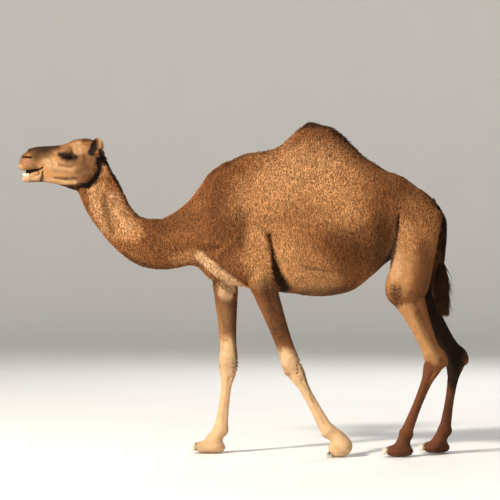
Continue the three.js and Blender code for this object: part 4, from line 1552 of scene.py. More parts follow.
RIGHT_SIDE = (
    (PALE, ((-105, 1050, 60), (-110, 1012, 46)), 0.85, 0.3, (-1, 150)),
    (PALE, ((-100, 680, 50), (-92, 566, 80), (-112, 340, 70), (-138, 148, 90), (-200, 30, 130)), 1.0, 0.75),
    (TAN, ((-120, 900, 60), (-110, 760, 60)), 0.7, 0.8),
    (DARK, ((-110, 940, 60), (-96, 800, 50)), 0.5, 0.7),
    (DARK, ((-60, 960, 22), (-58, 800, 20), (-42, 640, 12), (-30, 540, 12)), 0.55, 0.6),
    (TAN, ((1090, 900, 60), (1230, 740, 50), (1330, 620, 50)), 0.7, 0.4),
    # painted shade over the right hind leg's thigh, gaskin and hock
    (DARK, ((1110, 1040, 130), (1230, 840, 110), (1330, 640, 95), (1342, 470, 60)), 0.97, 0.5, (-1, 136)),
    (DARK, ((1130, 1020, 110), (1230, 820, 100), (1330, 640, 90)), 0.4, 0.7),
    (RUDDY, ((1340, 560, 50), (1330, 440, 50), (1300, 240, 60), (1270, 100, 90), (1220, 30, 110)), 1.0, 0.5),
    # painted shade down the right hind cannon and foot
    (DARK, ((1360, 480, 30), (1310, 240, 30), (1290, 60, 50)), 0.5, 0.8),
)


def marks() -> list[Mark]:
    """Every marking of the coat, painted shade and light among them, those of both sides first."""
    left = [Mark(*row) for row in LEFT_SIDE] + callus_marks(LEGS["hind_left"])
    right = [Mark(*row) for row in RIGHT_SIDE] + callus_marks(LEGS["hind_right"])
    return [
        *[Mark(*row) for row in BOTH_SIDES],
        *[replace(mark, side=LEFT) for mark in left],
        *[replace(mark, side=RIGHT) for mark in right],
    ]


def callus_marks(leg: Leg) -> list[Mark]:
    """The darker, ruddy skin of one stifle's pad, and painted shade in the creases between its knobs."""
    x, z = leg.middle[0], leg.middle[2]
    rng, out = np.random.default_rng(SEED + 6), (138, FAR)
    found = [
        Mark(DARK, ((x - 84, z + 30, 24), (x - 74, z - 48, 24)), 0.3, 0.9, reach=out),
        Mark(RUDDY, ((x - 84, z + 40, 30), (x - 72, z - 52, 28)), 0.5, 0.8, reach=out),
    ]
    # painted shade in the creases between the knobs
    for k in range(24):
        a = x - 106 + 15 * (k % 4) + rng.normal(0, 5)
        b = z + 56 - 22 * (k // 4) + rng.normal(0, 5)
        turn = rng.uniform(0, math.pi)
        end = (a + 11 * math.cos(turn), b + 11 * math.sin(turn), 2.5)
        found.append(Mark(DARK, ((a, b, 3.5), end), 0.65, 0.8, reach=out))
    return found


def tone_shares(places: Array) -> dict[Tone, Array]:
    """How strongly each tone shows at points in the body tables' millimetres."""
    ragged = 0.11 * ripples(places, 34, 11) + 0.10 * ripples(places, 90, 12)
    left = {tone: np.ones(len(places)) for tone in Tone}
    for mark in marks():
        left[mark.tone] = left[mark.tone] * (1 - mark.share(places, ragged))
    return {tone: 1 - rest for tone, rest in left.items()}


def write_tones(mesh: bpy.types.Mesh, places: Array, copies: int = 1) -> None:
    """Stores the tones as one attribute each, repeating each place's for some vertices."""
    for tone, share in tone_shares(places).items():
        write_values(mesh, tone.value, np.repeat(share, copies))


def write_values(mesh: bpy.types.Mesh, name: str, values: Array) -> None:
    """Stores one number for each vertex as a named attribute."""
    made = mesh.attributes.new(name, "FLOAT", "POINT")
    made.data.foreach_set("value", values.astype(np.float32))


# ------------------------------------------------------------------ meshes from arrays


def mesh_from_arrays(name: str, points: Array, faces: Array) -> bpy.types.Mesh:
    """A smooth mesh of points in metres and faces that all have as many corners."""
    made = bpy.data.meshes.new(name)
    made.vertices.add(len(points))
    made.vertices.foreach_set("co", points.astype(np.float32).ravel())
    made.loops.add(faces.size)
    made.loops.foreach_set("vertex_index", faces.astype(np.int32).ravel())
    made.polygons.add(len(faces))
    made.polygons.foreach_set("loop_start", (np.arange(len(faces)) * faces.shape[1]).astype(np.int32))
    made.update(calc_edges=True)
    made.shade_smooth()
    return made


def nodes_with(*words: str) -> list[str]:
    """The frame's nodes whose names hold every word."""
    return [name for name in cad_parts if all(word in name for word in words)]


def place_piece(
    mesh: bpy.types.Mesh, name: str, material: bpy.types.Material, nodes: Sequence[str] = ()
) -> None:
    """Links a mesh in the frame's metres as one piece, which stands for the nodes."""
    mesh.materials.clear()
    mesh.materials.append(material)
    made = linked(name, mesh)
    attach(made, "root")
    if nodes:
        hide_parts(*nodes)
    log.info("%s: %d faces, replaces %d nodes", name, len(mesh.polygons), len(nodes))


BAKE_MAP = "OFBake"


@dataclass
class Skin:
    """The hide as arrays that tufts are planted on: corners in millimetres, normals and its map."""

    corners: Array  # (faces, 3, 3)
    normals: Array  # (faces, 3, 3), at the corners
    flat: Array  # (faces, 3, 2), the unwrap

    @classmethod
    def of(cls, mesh: bpy.types.Mesh) -> "Skin":
        """Reads a hide mesh of triangles that has its unwrap."""
        normals = rows_of(mesh.vertex_normals, "vector", 3).astype(float)
        index = rows_of(mesh.loops, "vertex_index", 1, np.int32).reshape(-1, 3)
        flat = rows_of(mesh.uv_layers[BAKE_MAP].uv, "vector", 2)
        return cls(vertex_places(mesh)[index], normals[index], flat.reshape(-1, 3, 2))

    def plant(
        self, rng: np.random.Generator, spacing: float, share: Callable[[Array], Array]
    ) -> tuple[Array, Array, Array]:
        """Roots spread evenly, with their normals and places on the unwrap.

        Neighbours are a spacing apart where the share is 1, and further where it is less.
        """
        sides = self.corners[:, 1:] - self.corners[:, :1]
        area = np.linalg.norm(np.cross(sides[:, 0], sides[:, 1]), axis=1) / 2
        wanted = area * share(self.corners.mean(1)) / spacing**2
        total = np.cumsum(wanted)
        count = int(total[-1])
        face = np.searchsorted(total, (np.arange(count) + rng.random(count)) / count * total[-1])
        face = np.minimum(face, len(area) - 1)
        a, b = rng.random(count), rng.random(count)
        turn = a + b > 1
        a, b = np.where(turn, 1 - a, a), np.where(turn, 1 - b, b)
        weights = np.stack([1 - a - b, a, b], 1)[:, :, None]
        return (
            (self.corners[face] * weights).sum(1),
            unit((self.normals[face] * weights).sum(1)),
            (self.flat[face] * weights).sum(1),
        )


# ------------------------------------------------------------------ coat


class Cover(Enum):
    """The kinds of lock, each with the finish that it takes."""

    WOOL = "wool locks"
    SHORT = "short tufts"
    LONG = "long hair"


# Root and tip are painted shade at the roots and painted light at the tips of the locks.
FINISHES = {
    Cover.WOOL: HairFinish(Cover.WOOL.value, root=0.42, tip=1.50),
    Cover.SHORT: HairFinish(Cover.SHORT.value, root=0.82, tip=0.97),
    Cover.LONG: HairFinish(Cover.LONG.value, root=0.6, tip=1.05),
}


@dataclass(frozen=True)
class Lock:
    """The size and bearing of one kind of lock, in millimetres and degrees."""

    length: float
    width: float
    lift: float  # off the hide at the root
    droop: float  # share of its rise that it loses towards the tip
    wave: float  # sideways swing
    stray: float  # how far neighbours' ways differ
    rings: int = 3
    woolly: bool = True  # shrinks where the coat shortens


@dataclass(frozen=True)
class Growth:
    """One piece of the coat: where it grows, how thickly and of what locks."""

    name: str
    cover: Cover
    lock: Lock
    spacing: float
    where: Callable[[Array], Array]
    slot: str = "coat"


def band(values: Array, low: float, high: float, soft: float = 0.0) -> Array:
    """1 between two limits and 0 outside them, over a soft edge."""
    if soft <= 0:
        return ((values >= low) & (values < high)).astype(float)
    return smoothstep(low - soft, low + soft, values) * (1 - smoothstep(high - soft, high + soft, values))


def bare_share(points: Array) -> Array:
    """1 where no tuft may grow: eyes, mouth, nostrils, the cups of the ears and the soles."""
    on_right = mirrored(points)
    bare = 1 - smoothstep(24, 36, np.linalg.norm((on_right - EYE_PLACE) * [1, 0.8, 1], axis=1))
    mouth = Chain([[-1400, 0, 1777, 9, 60], [-1286, 0, 1791, 5, 60]], 6).distance(points)
    bare = np.maximum(bare, 1 - smoothstep(3, 8, mouth))
    nostril = Chain([[-1388, 26, 1876, 5, 30], [-1322, 52, 1871, 4, 30]], 5).distance(on_right)
    bare = np.maximum(bare, 1 - smoothstep(2, 5, nostril))
    cup = Lump((-931, 107, 1942), (29, 24, 44), 4, yaw=24.0, roll=-16.0, pitch=28.0)
    bare = np.maximum(bare, 1 - smoothstep(0, 6, cup.distance(on_right)))
    return np.maximum(bare, 1 - smoothstep(15, 23, points[:, 2]))


def wool_in(
    low: float, high: float, side: int = 0, floor: float = 0.0, roof: float = FAR
) -> Callable[[Array], Array]:
    """Where wool grows between two places along the body, on one side or both."""

    def where(points: Array) -> Array:
        """The share of full wool at each place."""
        found = smoothstep(0.12, 0.6, wool_share(points)) * band(points[:, 0], low, high)
        found = found * band(points[:, 2], floor, roof)
        return found * (points[:, 1] * side >= 0) if side else found

    return where


def short_on_head(points: Array) -> Array:
    """Where the face's short tufts grow."""
    thin = 0.45 + 0.55 * smoothstep(-1330, -1180, points[:, 0])
    return head_share(points) * (1 - bare_share(points)) * thin


def short_on_legs(low: float, high: float) -> Callable[[Array], Array]:
    """Where the legs' short tufts grow, between two places along the body."""

    def where(points: Array) -> Array:
        """The share of full cover at each place."""
        short = (1 - smoothstep(0.3, 0.9, wool_share(points))) * (1 - head_share(points))
        thin = 0.35 + 0.65 * smoothstep(150, 500, points[:, 2])
        return short * thin * (1 - bare_share(points)) * band(points[:, 0], low, high)

    return where


def near_stroke(stroke: Sequence[Triple], ragged: float = 0.2) -> Callable[[Array], Array]:
    """Places near a stroke drawn on the side view, on both sides of the animal."""
    mark = Mark(DARK, tuple(stroke), 1.0, 0.4)

    def where(points: Array) -> Array:
        """The share of full cover at each place."""
        inner = 1 - smoothstep(64, 78, np.abs(points[:, 1]))  # not on the ears
        found = mark.share(points, ragged * ripples(points, 60, 31))
        return found * (1 - bare_share(points)) * inner

    return where


def crest_share(points: Array) -> Array:
    """Where long hair stands along the top of the hump and the back."""
    crest = band(points[:, 0], 120, 830, 60) * (1 - smoothstep(70, 150, np.abs(points[:, 1])))
    return crest * smoothstep(1800, 1930, points[:, 2])


WOOL_LOCK = Lock(length=25, width=5.6, lift=24, droop=0.6, wave=3.2, stray=11, rings=2)
HUMP_LOCK = Lock(length=26, width=5.9, lift=27, droop=0.6, wave=3.6, stray=13, rings=2)
SHORT_LOCK = Lock(length=16, width=2.5, lift=6, droop=0.8, wave=0.8, stray=9, rings=2, woolly=False)
FACE_LOCK = Lock(length=9.5, width=1.6, lift=4, droop=0.8, wave=0.4, stray=9, rings=2, woolly=False)
NAPE_LOCK = Lock(length=42, width=5.4, lift=22, droop=0.7, wave=5.0, stray=16)
THROAT_LOCK = Lock(length=26, width=4.6, lift=16, droop=0.8, wave=3.0, stray=12)
CREST_LOCK = Lock(length=36, width=6.5, lift=42, droop=0.55, wave=5.0, stray=30)

NAPE_LINE = (
    (-880, 1905, 22), (-852, 1866, 30), (-826, 1800, 26), (-782, 1712, 24), (-724, 1610, 20),
    (-664, 1512, 16),
)  # fmt: skip
THROAT_LINE = (
    (-905, 1860, 10), (-908, 1800, 17), (-926, 1752, 20), (-975, 1704, 20), (-1070, 1680, 17),
    (-1110, 1684, 10),
)  # fmt: skip


def growths() -> list[Growth]:
    """Every piece of the coat, in the order it is drawn."""
    wool = [  # name, lock, spacing, where
        ("neck_upper", WOOL_LOCK, 5.7, wool_in(-FAR, -700)),
        ("neck_lower", WOOL_LOCK, 5.7, wool_in(-700, -330)),
        ("breast", WOOL_LOCK, 6.1, wool_in(-330, -60)),
        ("shoulders", WOOL_LOCK, 6.1, wool_in(-60, 200)),
        ("barrel_left", WOOL_LOCK, 6.1, wool_in(200, 820, LEFT, roof=1660)),
        ("barrel_right", WOOL_LOCK, 6.1, wool_in(200, 820, RIGHT, roof=1660)),
        ("hump_left", HUMP_LOCK, 6.2, wool_in(200, 820, LEFT, floor=1660)),
        ("hump_right", HUMP_LOCK, 6.2, wool_in(200, 820, RIGHT, floor=1660)),
        ("rump_left", WOOL_LOCK, 6.1, wool_in(820, FAR, LEFT)),
        ("rump_right", WOOL_LOCK, 6.1, wool_in(820, FAR, RIGHT)),
    ]
    short = [
        ("head", FACE_LOCK, 4.6, short_on_head),
        ("forelegs", SHORT_LOCK, 10.0, short_on_legs(-400, 700)),
        ("hind_legs", SHORT_LOCK, 10.0, short_on_legs(700, FAR)),
    ]
    long = [
        ("crest", CREST_LOCK, 10.0, crest_share),
        ("nape", NAPE_LOCK, 8.5, near_stroke(NAPE_LINE)),
        ("throat", THROAT_LOCK, 6.5, near_stroke(THROAT_LINE)),
    ]
    return [
        *[Growth(f"coat_{name}", Cover.WOOL, *rest) for name, *rest in wool],
        *[Growth(f"coat_{name}", Cover.SHORT, *rest) for name, *rest in short],
        *[Growth(f"hair_{name}", Cover.LONG, *rest, slot="dark_hair") for name, *rest in long],
    ]


def lie(points: Array) -> Array:
    """The way that hair runs at each place, before it is laid against the hide."""
    head = head_share(points)[:, None]
    neck = (smoothstep(-300, -650, points[:, 0]) * (1 - head[:, 0]))[:, None]
    on_trunk = np.array([0.34, 0.0, -1.0])
    on_head, on_neck = np.array([1.0, 0.0, -0.42]), np.array([0.42, 0.0, -0.9])
    way = on_trunk * (1 - head - neck) + on_head * head + on_neck * neck
    under = smoothstep(0.0, 40.0, 60 - np.abs(points[:, 1]))[:, None]
    return way + np.array([0.25, 0, 0]) * under


LOCK_GIRTHS = (0.62, 1.0, 0.74)  # share of a lock's width at each ring, from the root
LOCK_THICKNESS = 0.42  # share of its width
SUNK_SHARE, SUNK_LEAST = 0.16, 0.8  # how deep a root sits: share of the lock's rise, and millimetres
WAVE_TURN = 3.6  # radians that a lock's wave runs through from root to tip
SPOT_WIDTH, SPOT_LENGTH = 0.0013, 0.003  # a lock's spread on the bake map


@dataclass
class Locks:
    """A batch of locks as arrays: one row for each lock."""

    roots: Array  # millimetres
    normals: Array  # the hide's
    ways: Array  # along the hide
    flat: Array  # places on the unwrap
    length: Array
    width: Array
    lift: Array  # degrees

    def mesh(self, name: str, lock: Lock, rng: np.random.Generator) -> bpy.types.Mesh:
        """Draws every lock as a closed three-sided blade with a pointed tip."""
        count, rings = len(self.roots), lock.rings
        across = np.cross(self.normals, self.ways)
        rise, run = np.sin(np.radians(self.lift)), np.cos(np.radians(self.lift))
        phase = rng.uniform(0, 2 * math.pi, count)
        swing = lock.wave * rng.normal(1, 0.35, count)
        sunk = SUNK_SHARE * self.length * rise + SUNK_LEAST
        centres = []
        for k in range(rings + 1):
            t = k / rings
            up = self.length * rise * (t - lock.droop * t * t) - sunk * (1 - t)
            side = swing * (np.sin(phase + WAVE_TURN * t) - np.sin(phase))
            centres.append(
                self.roots
                + self.normals * up[:, None]
                + self.ways * (self.length * run * t)[:, None]
                + across * side[:, None]
            )
        body = []
        for centre, share in zip(centres[:-1], LOCK_GIRTHS):
            width = (self.width * share)[:, None]
            half, thick = width / 2, width * LOCK_THICKNESS
            body += [centre - across * half, centre + across * half, centre + self.normals * thick]
        points = np.stack([*body, centres[-1]], 1)
        corners = points.shape[1]
        faces = [(0, 2, 1)]
        for k in range(rings - 1):
            for i in range(3):
                j = (i + 1) % 3
                a, b, c, d = 3 * k + i, 3 * k + j, 3 * k + 3 + j, 3 * k + 3 + i
                faces += [(a, b, c), (a, c, d)]
        last = 3 * (rings - 1)
        faces += [(last + i, last + (i + 1) % 3, corners - 1) for i in range(3)]
        index = (np.array(faces)[None] + (np.arange(count) * corners)[:, None, None]).reshape(-1, 3)
        made = mesh_from_arrays(name, to_frame(points.reshape(-1, 3)), index)
        self.store(made, index, lock, rng)
        return made

    def store(self, made: bpy.types.Mesh, index: Array, lock: Lock, rng: np.random.Generator) -> None:
        """Stores the bake map, tones, shade and run from root to tip; index is the mesh's faces."""
        count, rings = len(self.roots), lock.rings
        across = np.tile([-SPOT_WIDTH, 0.0, SPOT_WIDTH], rings)
        down = np.repeat((np.arange(rings) / rings - 0.5) * SPOT_LENGTH, 3)
        spots = np.vstack([np.stack([across, down], 1), [0.0, SPOT_LENGTH / 2]])
        flat = self.flat[:, None] + spots[None]
        layer = made.uv_layers.new(name=BAKE_MAP)
        layer.uv.foreach_set("vector", flat.reshape(-1, 2)[index.ravel()].astype(np.float32).ravel())
        along = np.append(np.repeat(np.arange(rings) / rings, 3), 1.0)
        write_values(made, "along", np.tile(along, count))
        cords = ripples(self.roots * [1, 1, 0.38], 14, 23)
        shade = 0.03 * ripples(self.roots, 60, 21) + 0.16 * cords + rng.normal(0, 0.17, count)
        shade = 1 + shade * (1.0 if lock.woolly else 0.3)
        write_values(made, "shade", np.repeat(np.clip(shade, 0.5, 1.6), len(along)))
        write_tones(made, self.roots, len(along))


MOST_FACES = 190_000  # of one piece


@dataclass
class Coat:
    """The whole coat, planted on the hide."""

    skin: Skin
    spread: float = 1.0  # what every growth's spacing is multiplied by

    def build(self) -> None:
        """Plants each growth and places it as a piece."""
        for number, growth in enumerate(growths()):
            rng = np.random.default_rng(SEED + number)
            roots, normals, flat = self.skin.plant(rng, growth.spacing * self.spread, growth.where)
            most = MOST_FACES // (6 * growth.lock.rings - 2)  # over the triangles of one lock
            if len(roots) > most:
                log.warning("%s is thinned from %d locks to %d", growth.name, len(roots), most)
                keep = np.sort(rng.permutation(len(roots))[:most])
                roots, normals, flat = roots[keep], normals[keep], flat[keep]
            mesh = self.locks(growth.lock, rng, roots, normals, flat).mesh(growth.name, growth.lock, rng)
            place_piece(mesh, growth.name, FINISHES[growth.cover].material())

    @staticmethod
    def locks(
        lock: Lock, rng: np.random.Generator, roots: Array, normals: Array, flat: Array
    ) -> Locks:
        """Gives each root its way, length, width and lift."""
        count = len(roots)
        ways = lie(roots)
        ways = unit(ways - normals * (ways * normals).sum(1, keepdims=True))
        turn = np.radians(lock.stray * (0.9 * ripples(roots, 52, 22) + rng.normal(0, 0.6, count)))
        across = np.cross(normals, ways)
        ways = ways * np.cos(turn)[:, None] + across * np.sin(turn)[:, None]
        size = np.clip(rng.normal(1, 0.18, count), 0.6, 1.5)
        if lock.woolly:
            size *= 0.5 + 0.5 * np.maximum(wool_share(roots), head_share(roots))
        lift = lock.lift * np.clip(rng.normal(1, 0.3, count), 0.35, 1.9)
        return Locks(roots, normals, ways, flat, lock.length * size, lock.width * size**0.5, lift)


# ------------------------------------------------------------------ studio


@dataclass(frozen=True)
class Softbox:
    """One studio lamp: a square panel aimed at the camel."""

    name: str
    place: Triple  # metres
    size: float
    power: float
    tint: Triple = (1.0, 1.0, 1.0)

    def hang(self, target: Triple) -> None:
        """Adds the lamp, turned to the target."""
        data = bpy.data.lights.new(self.name, "AREA")
        data.size = self.size
        data.energy = self.power
        data.color = self.tint
        lamp = linked(self.name, data)
        lamp.location = self.place
        lamp.rotation_euler = (Vector(target) - Vector(self.place)).to_track_quat("-Z", "Y").to_euler()


@dataclass(frozen=True)
class Studio:
    """Pale round cove, soft lamps and the camera."""

    floor_radius: float = 19.0
    cove_radius: float = 5.0
    wall_height: float = 9.0
    sides: int = 96
    camera_place: Triple = (0.0362, -14.0, 1.291)
    field_of_view: float = 12.84  # degrees across the picture
    lamps: tuple[Softbox, ...] = (
        Softbox("key", (-8.8, -8.4, 8.6), 1.5, 3300, (1.0, 0.93, 0.82)),
        Softbox("fill", (8.0, -10.0, 3.5), 6.0, 110, (1.0, 0.97, 0.93)),
        Softbox("back", (3.0, 9.0, 7.0), 5.0, 420),
    )

    def build(self) -> None:
        """Lays the floor and its cove, hangs the lamps and sets the camera."""
        self.lay_floor()
        for lamp in self.lamps:
            lamp.hang((0.0, 0.0, 1.1))
        world = bpy.data.worlds.new("studio air")
        world.use_nodes = True
        air = world.node_tree.nodes["Background"].inputs
        air["Color"].default_value = (1.0, 0.96, 0.91, 1)
        air["Strength"].default_value = 0.30
        bpy.context.scene.world = world
        bpy.context.scene.view_settings.view_transform = "Standard"
        self.set_camera()

    def lay_floor(self) -> None:
        """A round floor that rises into a wall in one easy curve."""
        flat_rings, cove_rings = 8, 12
        profile = [(r * self.floor_radius / flat_rings, 0.0) for r in range(1, flat_rings + 1)]
        for i in range(1, cove_rings + 1):
            turn = math.pi / 2 * i / cove_rings
            out = self.floor_radius + self.cove_radius * math.sin(turn)
            profile.append((out, self.cove_radius * (1 - math.cos(turn))))
        profile.append((self.floor_radius + self.cove_radius, self.wall_height))
        ways = [(math.cos(a), math.sin(a)) for a in (2 * math.pi * k / self.sides for k in range(self.sides))]
        cove = bmesh.new()
        centre = cove.verts.new((0, 0, 0))
        rings = [[cove.verts.new((r * x, r * y, z)) for x, y in ways] for r, z in profile]
        for k in range(self.sides):
            following = (k + 1) % self.sides
            cove.faces.new([centre, rings[0][k], rings[0][following]])
            for inner, outer in zip(rings, rings[1:]):
                cove.faces.new([inner[k], outer[k], outer[following], inner[following]])
        data = bpy.data.meshes.new("floor")
        cove.to_mesh(data)
        cove.free()
        data.shade_smooth()
        data.materials.append(studio_floor())
        floor = linked("floor", data)

    def set_camera(self) -> None:
        """A level long lens square to the animal's left side."""
        data = bpy.data.cameras.new("camera")
        data.lens = data.sensor_width / 2 / math.tan(math.radians(self.field_of_view / 2))
        data.clip_start, data.clip_end = 0.1, 200
        camera = linked("camera", data)
        camera.location = self.camera_place
        camera.rotation_euler = (math.pi / 2, 0, 0)
        bpy.context.scene.camera = camera


# ------------------------------------------------------------------ hide


@dataclass
class Hide:
    """The one skin of head, neck, trunk, legs and tail."""

    most_faces: int = MOST_FACES
    finish: HideFinish = HideFinish()
    others: tuple[str, ...] = ("eye", "nail", "teeth", "tuft")  # nodes that other pieces stand for

    def build(self) -> Skin:
        """Draws, thins, unwraps, dresses and places the hide, and returns it to plant on."""
        mesh = self.thinned(HideMesh(BODY).build())
        self.unwrap(mesh)
        self.dress(mesh)
        nodes = [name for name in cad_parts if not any(part in name for part in self.others)]
        place_piece(mesh, "hide", self.finish.material(), nodes)
        return Skin.of(mesh)

    def thinned(self, mesh: bpy.types.Mesh) -> bpy.types.Mesh:
        """The mesh with no more triangles than a piece may have."""
        whole = linked("hide in full", mesh)
        thin = whole.modifiers.new("thin", "DECIMATE")
        thin.ratio = min(1.0, self.most_faces / len(mesh.polygons))
        thin.use_collapse_triangulate = True
        made = applied(whole, "hide")
        made.shade_smooth()
        return made

    @staticmethod
    def unwrap(mesh: bpy.types.Mesh) -> None:
        """Lays the hide's own shape out flat as its bake map."""
        while mesh.uv_layers:
            mesh.uv_layers.remove(mesh.uv_layers[0])
        mesh.uv_layers.new(name=BAKE_MAP)
        holder = linked("unwrap", mesh)
        bpy.context.view_layer.objects.active = holder
        bpy.ops.object.mode_set(mode="EDIT")
        bpy.ops.mesh.select_all(action="SELECT")
        bpy.ops.uv.smart_project(angle_limit=math.radians(66), island_margin=0.002)
        bpy.ops.object.mode_set(mode="OBJECT")
        bpy.data.objects.remove(holder)

    @staticmethod
    def dress(mesh: bpy.types.Mesh) -> None:
        """Stores the tones, wool and creases as attributes."""
        places = vertex_places(mesh)
        write_tones(mesh, places)
        write_values(mesh, "wool", wool_share(places))
        write_values(mesh, "head", head_share(places))
        write_values(mesh, "creased", creased_share(places))


def creased_share(points: Array) -> Array:
    """How creased the skin is: at each joint of the legs, the lips and the lids."""
    found = np.full(len(points), 0.08)
    for leg in LEGS.values():
        for joint, radius, most in ((leg.lower, 80, 0.6), (leg.fetlock, 60, 0.25), (leg.middle, 90, 0.6)):
            gap = joint_gap(points, leg, joint, 0.7)
            found = np.maximum(found, most * (1 - smoothstep(radius * 0.5, radius * 1.2, gap)))
    lid = np.linalg.norm(mirrored(points) - EYE_PLACE, axis=1)
    found = np.maximum(found, 0.5 * (1 - smoothstep(30, 55, lid)))
    lips = head_share(points) * (1 - smoothstep(-1330, -1270, points[:, 0]))
    return np.maximum(found, 0.45 * lips)


# ------------------------------------------------------------------ eyes, teeth and nails


def circle(sides: int) -> Array:
    """Even turns round a circle, in radians."""
    return np.arange(sides) / sides * 2 * math.pi


def lathe(profile: Sequence[tuple[float, float]], sides: int) -> tuple[Array, Array]:
    """A closed surface of revolution about +Z, whose triangles face outwards as heights fall.

    The profile is (radius, height) from pole to pole; only its ends have no radius.
    """
    turns = circle(sides)
    rings = [np.stack([r * np.cos(turns), r * np.sin(turns), np.full(sides, z)], 1) for r, z in profile[1:-1]]
    points = np.vstack([[[0, 0, profile[0][1]]], *rings, [[0, 0, profile[-1][1]]]])
    faces = []
    last = len(points) - 1
    for k in range(sides):
        n = (k + 1) % sides
        faces.append((0, 1 + k, 1 + n))
        for ring in range(len(rings) - 1):
            a, b = 1 + ring * sides, 1 + (ring + 1) * sides
            faces += [(a + k, b + k, b + n), (a + k, b + n, a + n)]
        end = 1 + (len(rings) - 1) * sides
        faces.append((end + k, last, end + n))
    return points, np.array(faces)


@dataclass
class Eyeball:
    """One eye: a ball with a clear bulge over a dark iris."""

    side: int
    radius: float = EYE_RADIUS
    cornea: float = 1.6  # how far the front stands proud
    gaze: Triple = (-0.28, 1.0, 0.10)  # for the animal's right side
    sides: int = 40
    rows: int = 26

    def build(self) -> bpy.types.Mesh:
        """Draws the ball, looking along its gaze."""
        profile = []
        for k in range(self.rows + 1):
            turn = math.pi * k / self.rows
            bulge = self.cornea * float(1 - smoothstep(0.25, 0.75, np.array([turn]))[0])
            reach = self.radius + bulge
            profile.append((reach * math.sin(turn), reach * math.cos(turn)))
        points, faces = lathe(profile, self.sides)
        wide = np.arccos(np.clip(points[:, 2] / np.linalg.norm(points, axis=1), -1, 1))
        across, up = points[:, 0], points[:, 1]
        oval = np.sqrt(across**2 * 0.45 + up**2 * 1.9) / np.maximum(np.hypot(across, up), 1e-6)
        x, y, z = self.gaze
        turn = Vector((x, y * self.side, z)).to_track_quat("Z", "Y").to_matrix()
        centre = np.array(EYE_PLACE) * [1, self.side, 1]
        made = mesh_from_arrays("eye", to_frame(points @ np.array(turn).T + centre), faces)
        near = 1 - smoothstep(0.3, 0.6, wide)
        write_values(made, "gaze", wide / 0.85 * (1 + (oval - 1) * near))
        return made

    def place(self) -> None:
        """Dresses and places the ball."""
        name = SIDE_NAMES[self.side]
        material = bpy.data.materials.get("wet eye") or EyeFinish().material()
        place_piece(self.build(), f"eyeball_{name}", material, [f"eye_{name}"])


def squared(values: Array, power: float) -> Array:
    """Values raised to a power under their own signs; below 1 it squares a round section."""
    return np.sign(values) * np.abs(values) ** power


Loft = tuple[Array, Array, Array]  # points, faces and each point's run from the first ring to the last


def loft(rings: Array) -> Loft:
    """A closed surface of outward triangles through rings, with a point in each end's middle.

    Rings are (rings, sides, 3), each anticlockwise as seen from the last ring's end.
    """
    count, sides = rings.shape[:2]
    ends = [rings[0].mean(0, keepdims=True), rings[-1].mean(0, keepdims=True)]
    points = np.vstack([rings.reshape(-1, 3), *ends])
    first, last = count * sides, count * sides + 1
    faces = []
    for k in range(sides):
        n = (k + 1) % sides
        faces.append((first, n, k))
        for ring in range(count - 1):
            a, b = ring * sides, (ring + 1) * sides
            faces += [(a + k, a + n, b + n), (a + k, b + n, b + k)]
        faces.append((last, (count - 1) * sides + k, (count - 1) * sides + n))
    return points, np.array(faces), np.append(np.repeat(np.linspace(0, 1, count), sides), [0, 1])


def joined(parts: Sequence[Loft]) -> Loft:
    """Several lofts as one."""
    points, faces, runs = zip(*parts)
    starts = np.cumsum([0, *[len(own) for own in points[:-1]]])
    renumbered = [own + start for own, start in zip(faces, starts)]
    return np.vstack(points), np.vstack(renumbered), np.concatenate(runs)


@dataclass
class Incisors:
    """The lower front teeth, six incisors and a canine at each end, broad and a little worn."""

    count: int = 8
    centre: Triple = (-1341, 0, 1754)
    arc_radius: float = 33.0
    step: float = 23.5  # degrees between neighbours
    size: Triple = (9.0, 14.0, 44.0)
    tilt: float = -26.0
    sides: int = 14

    def tooth(self, rng: np.random.Generator) -> Array:
        """Rings of one tooth about its own middle, from root to edge."""
        depth, width, height = self.size
        worn = rng.uniform(0.94, 1.0)
        rings, turns = [], circle(self.sides)
        for t in (0.0, 0.2, 0.42, 0.6, 0.75, 0.87, 0.95, 1.0):
            broad = 0.72 + 0.30 * math.sin(math.pi * min(t * 0.62, 0.5)) ** 2
            end = (1 - max(0, (t - 0.87) / 0.13) ** 2 * 0.35) * broad
            thick = (1 - 0.45 * t) * (1 - max(0, (t - 0.9) / 0.1) * 0.3)
            x = squared(np.cos(turns), 0.8) * depth / 2 * thick
            y = squared(np.sin(turns), 0.7) * width / 2 * end
            z = np.full(self.sides, (t - 0.5) * height * worn)
            rings.append(np.stack([x - 1.6 * t * t, y, z], 1))
        return np.array(rings)

    def build(self) -> None:
        """Draws the row of teeth and places it."""
        rng = np.random.default_rng(SEED)
        tilt = np.array(Euler((0, math.radians(self.tilt), 0)).to_matrix())
        teeth = []
        for i in range(self.count):
            points, faces, run = loft(self.tooth(rng))
            bearing = math.radians((i - (self.count - 1) / 2) * self.step)
            yaw = np.array(Euler((0, 0, bearing)).to_matrix())
            points = (points @ tilt.T - [self.arc_radius, 0, 0]) @ yaw.T + self.centre
            teeth.append((points, faces, run))
        points, faces, run = joined(teeth)
        made = mesh_from_arrays("incisors", to_frame(points), faces)
        write_values(made, "along", 1 - run)
        enamel, stain = (0.74, 0.66, 0.50), (0.36, 0.24, 0.12)
        finish = HornFinish("tooth enamel", enamel, stain, from_end=0.62, roughness=0.3)
        place_piece(made, "incisors", finish.material(), nodes_with("teeth"))


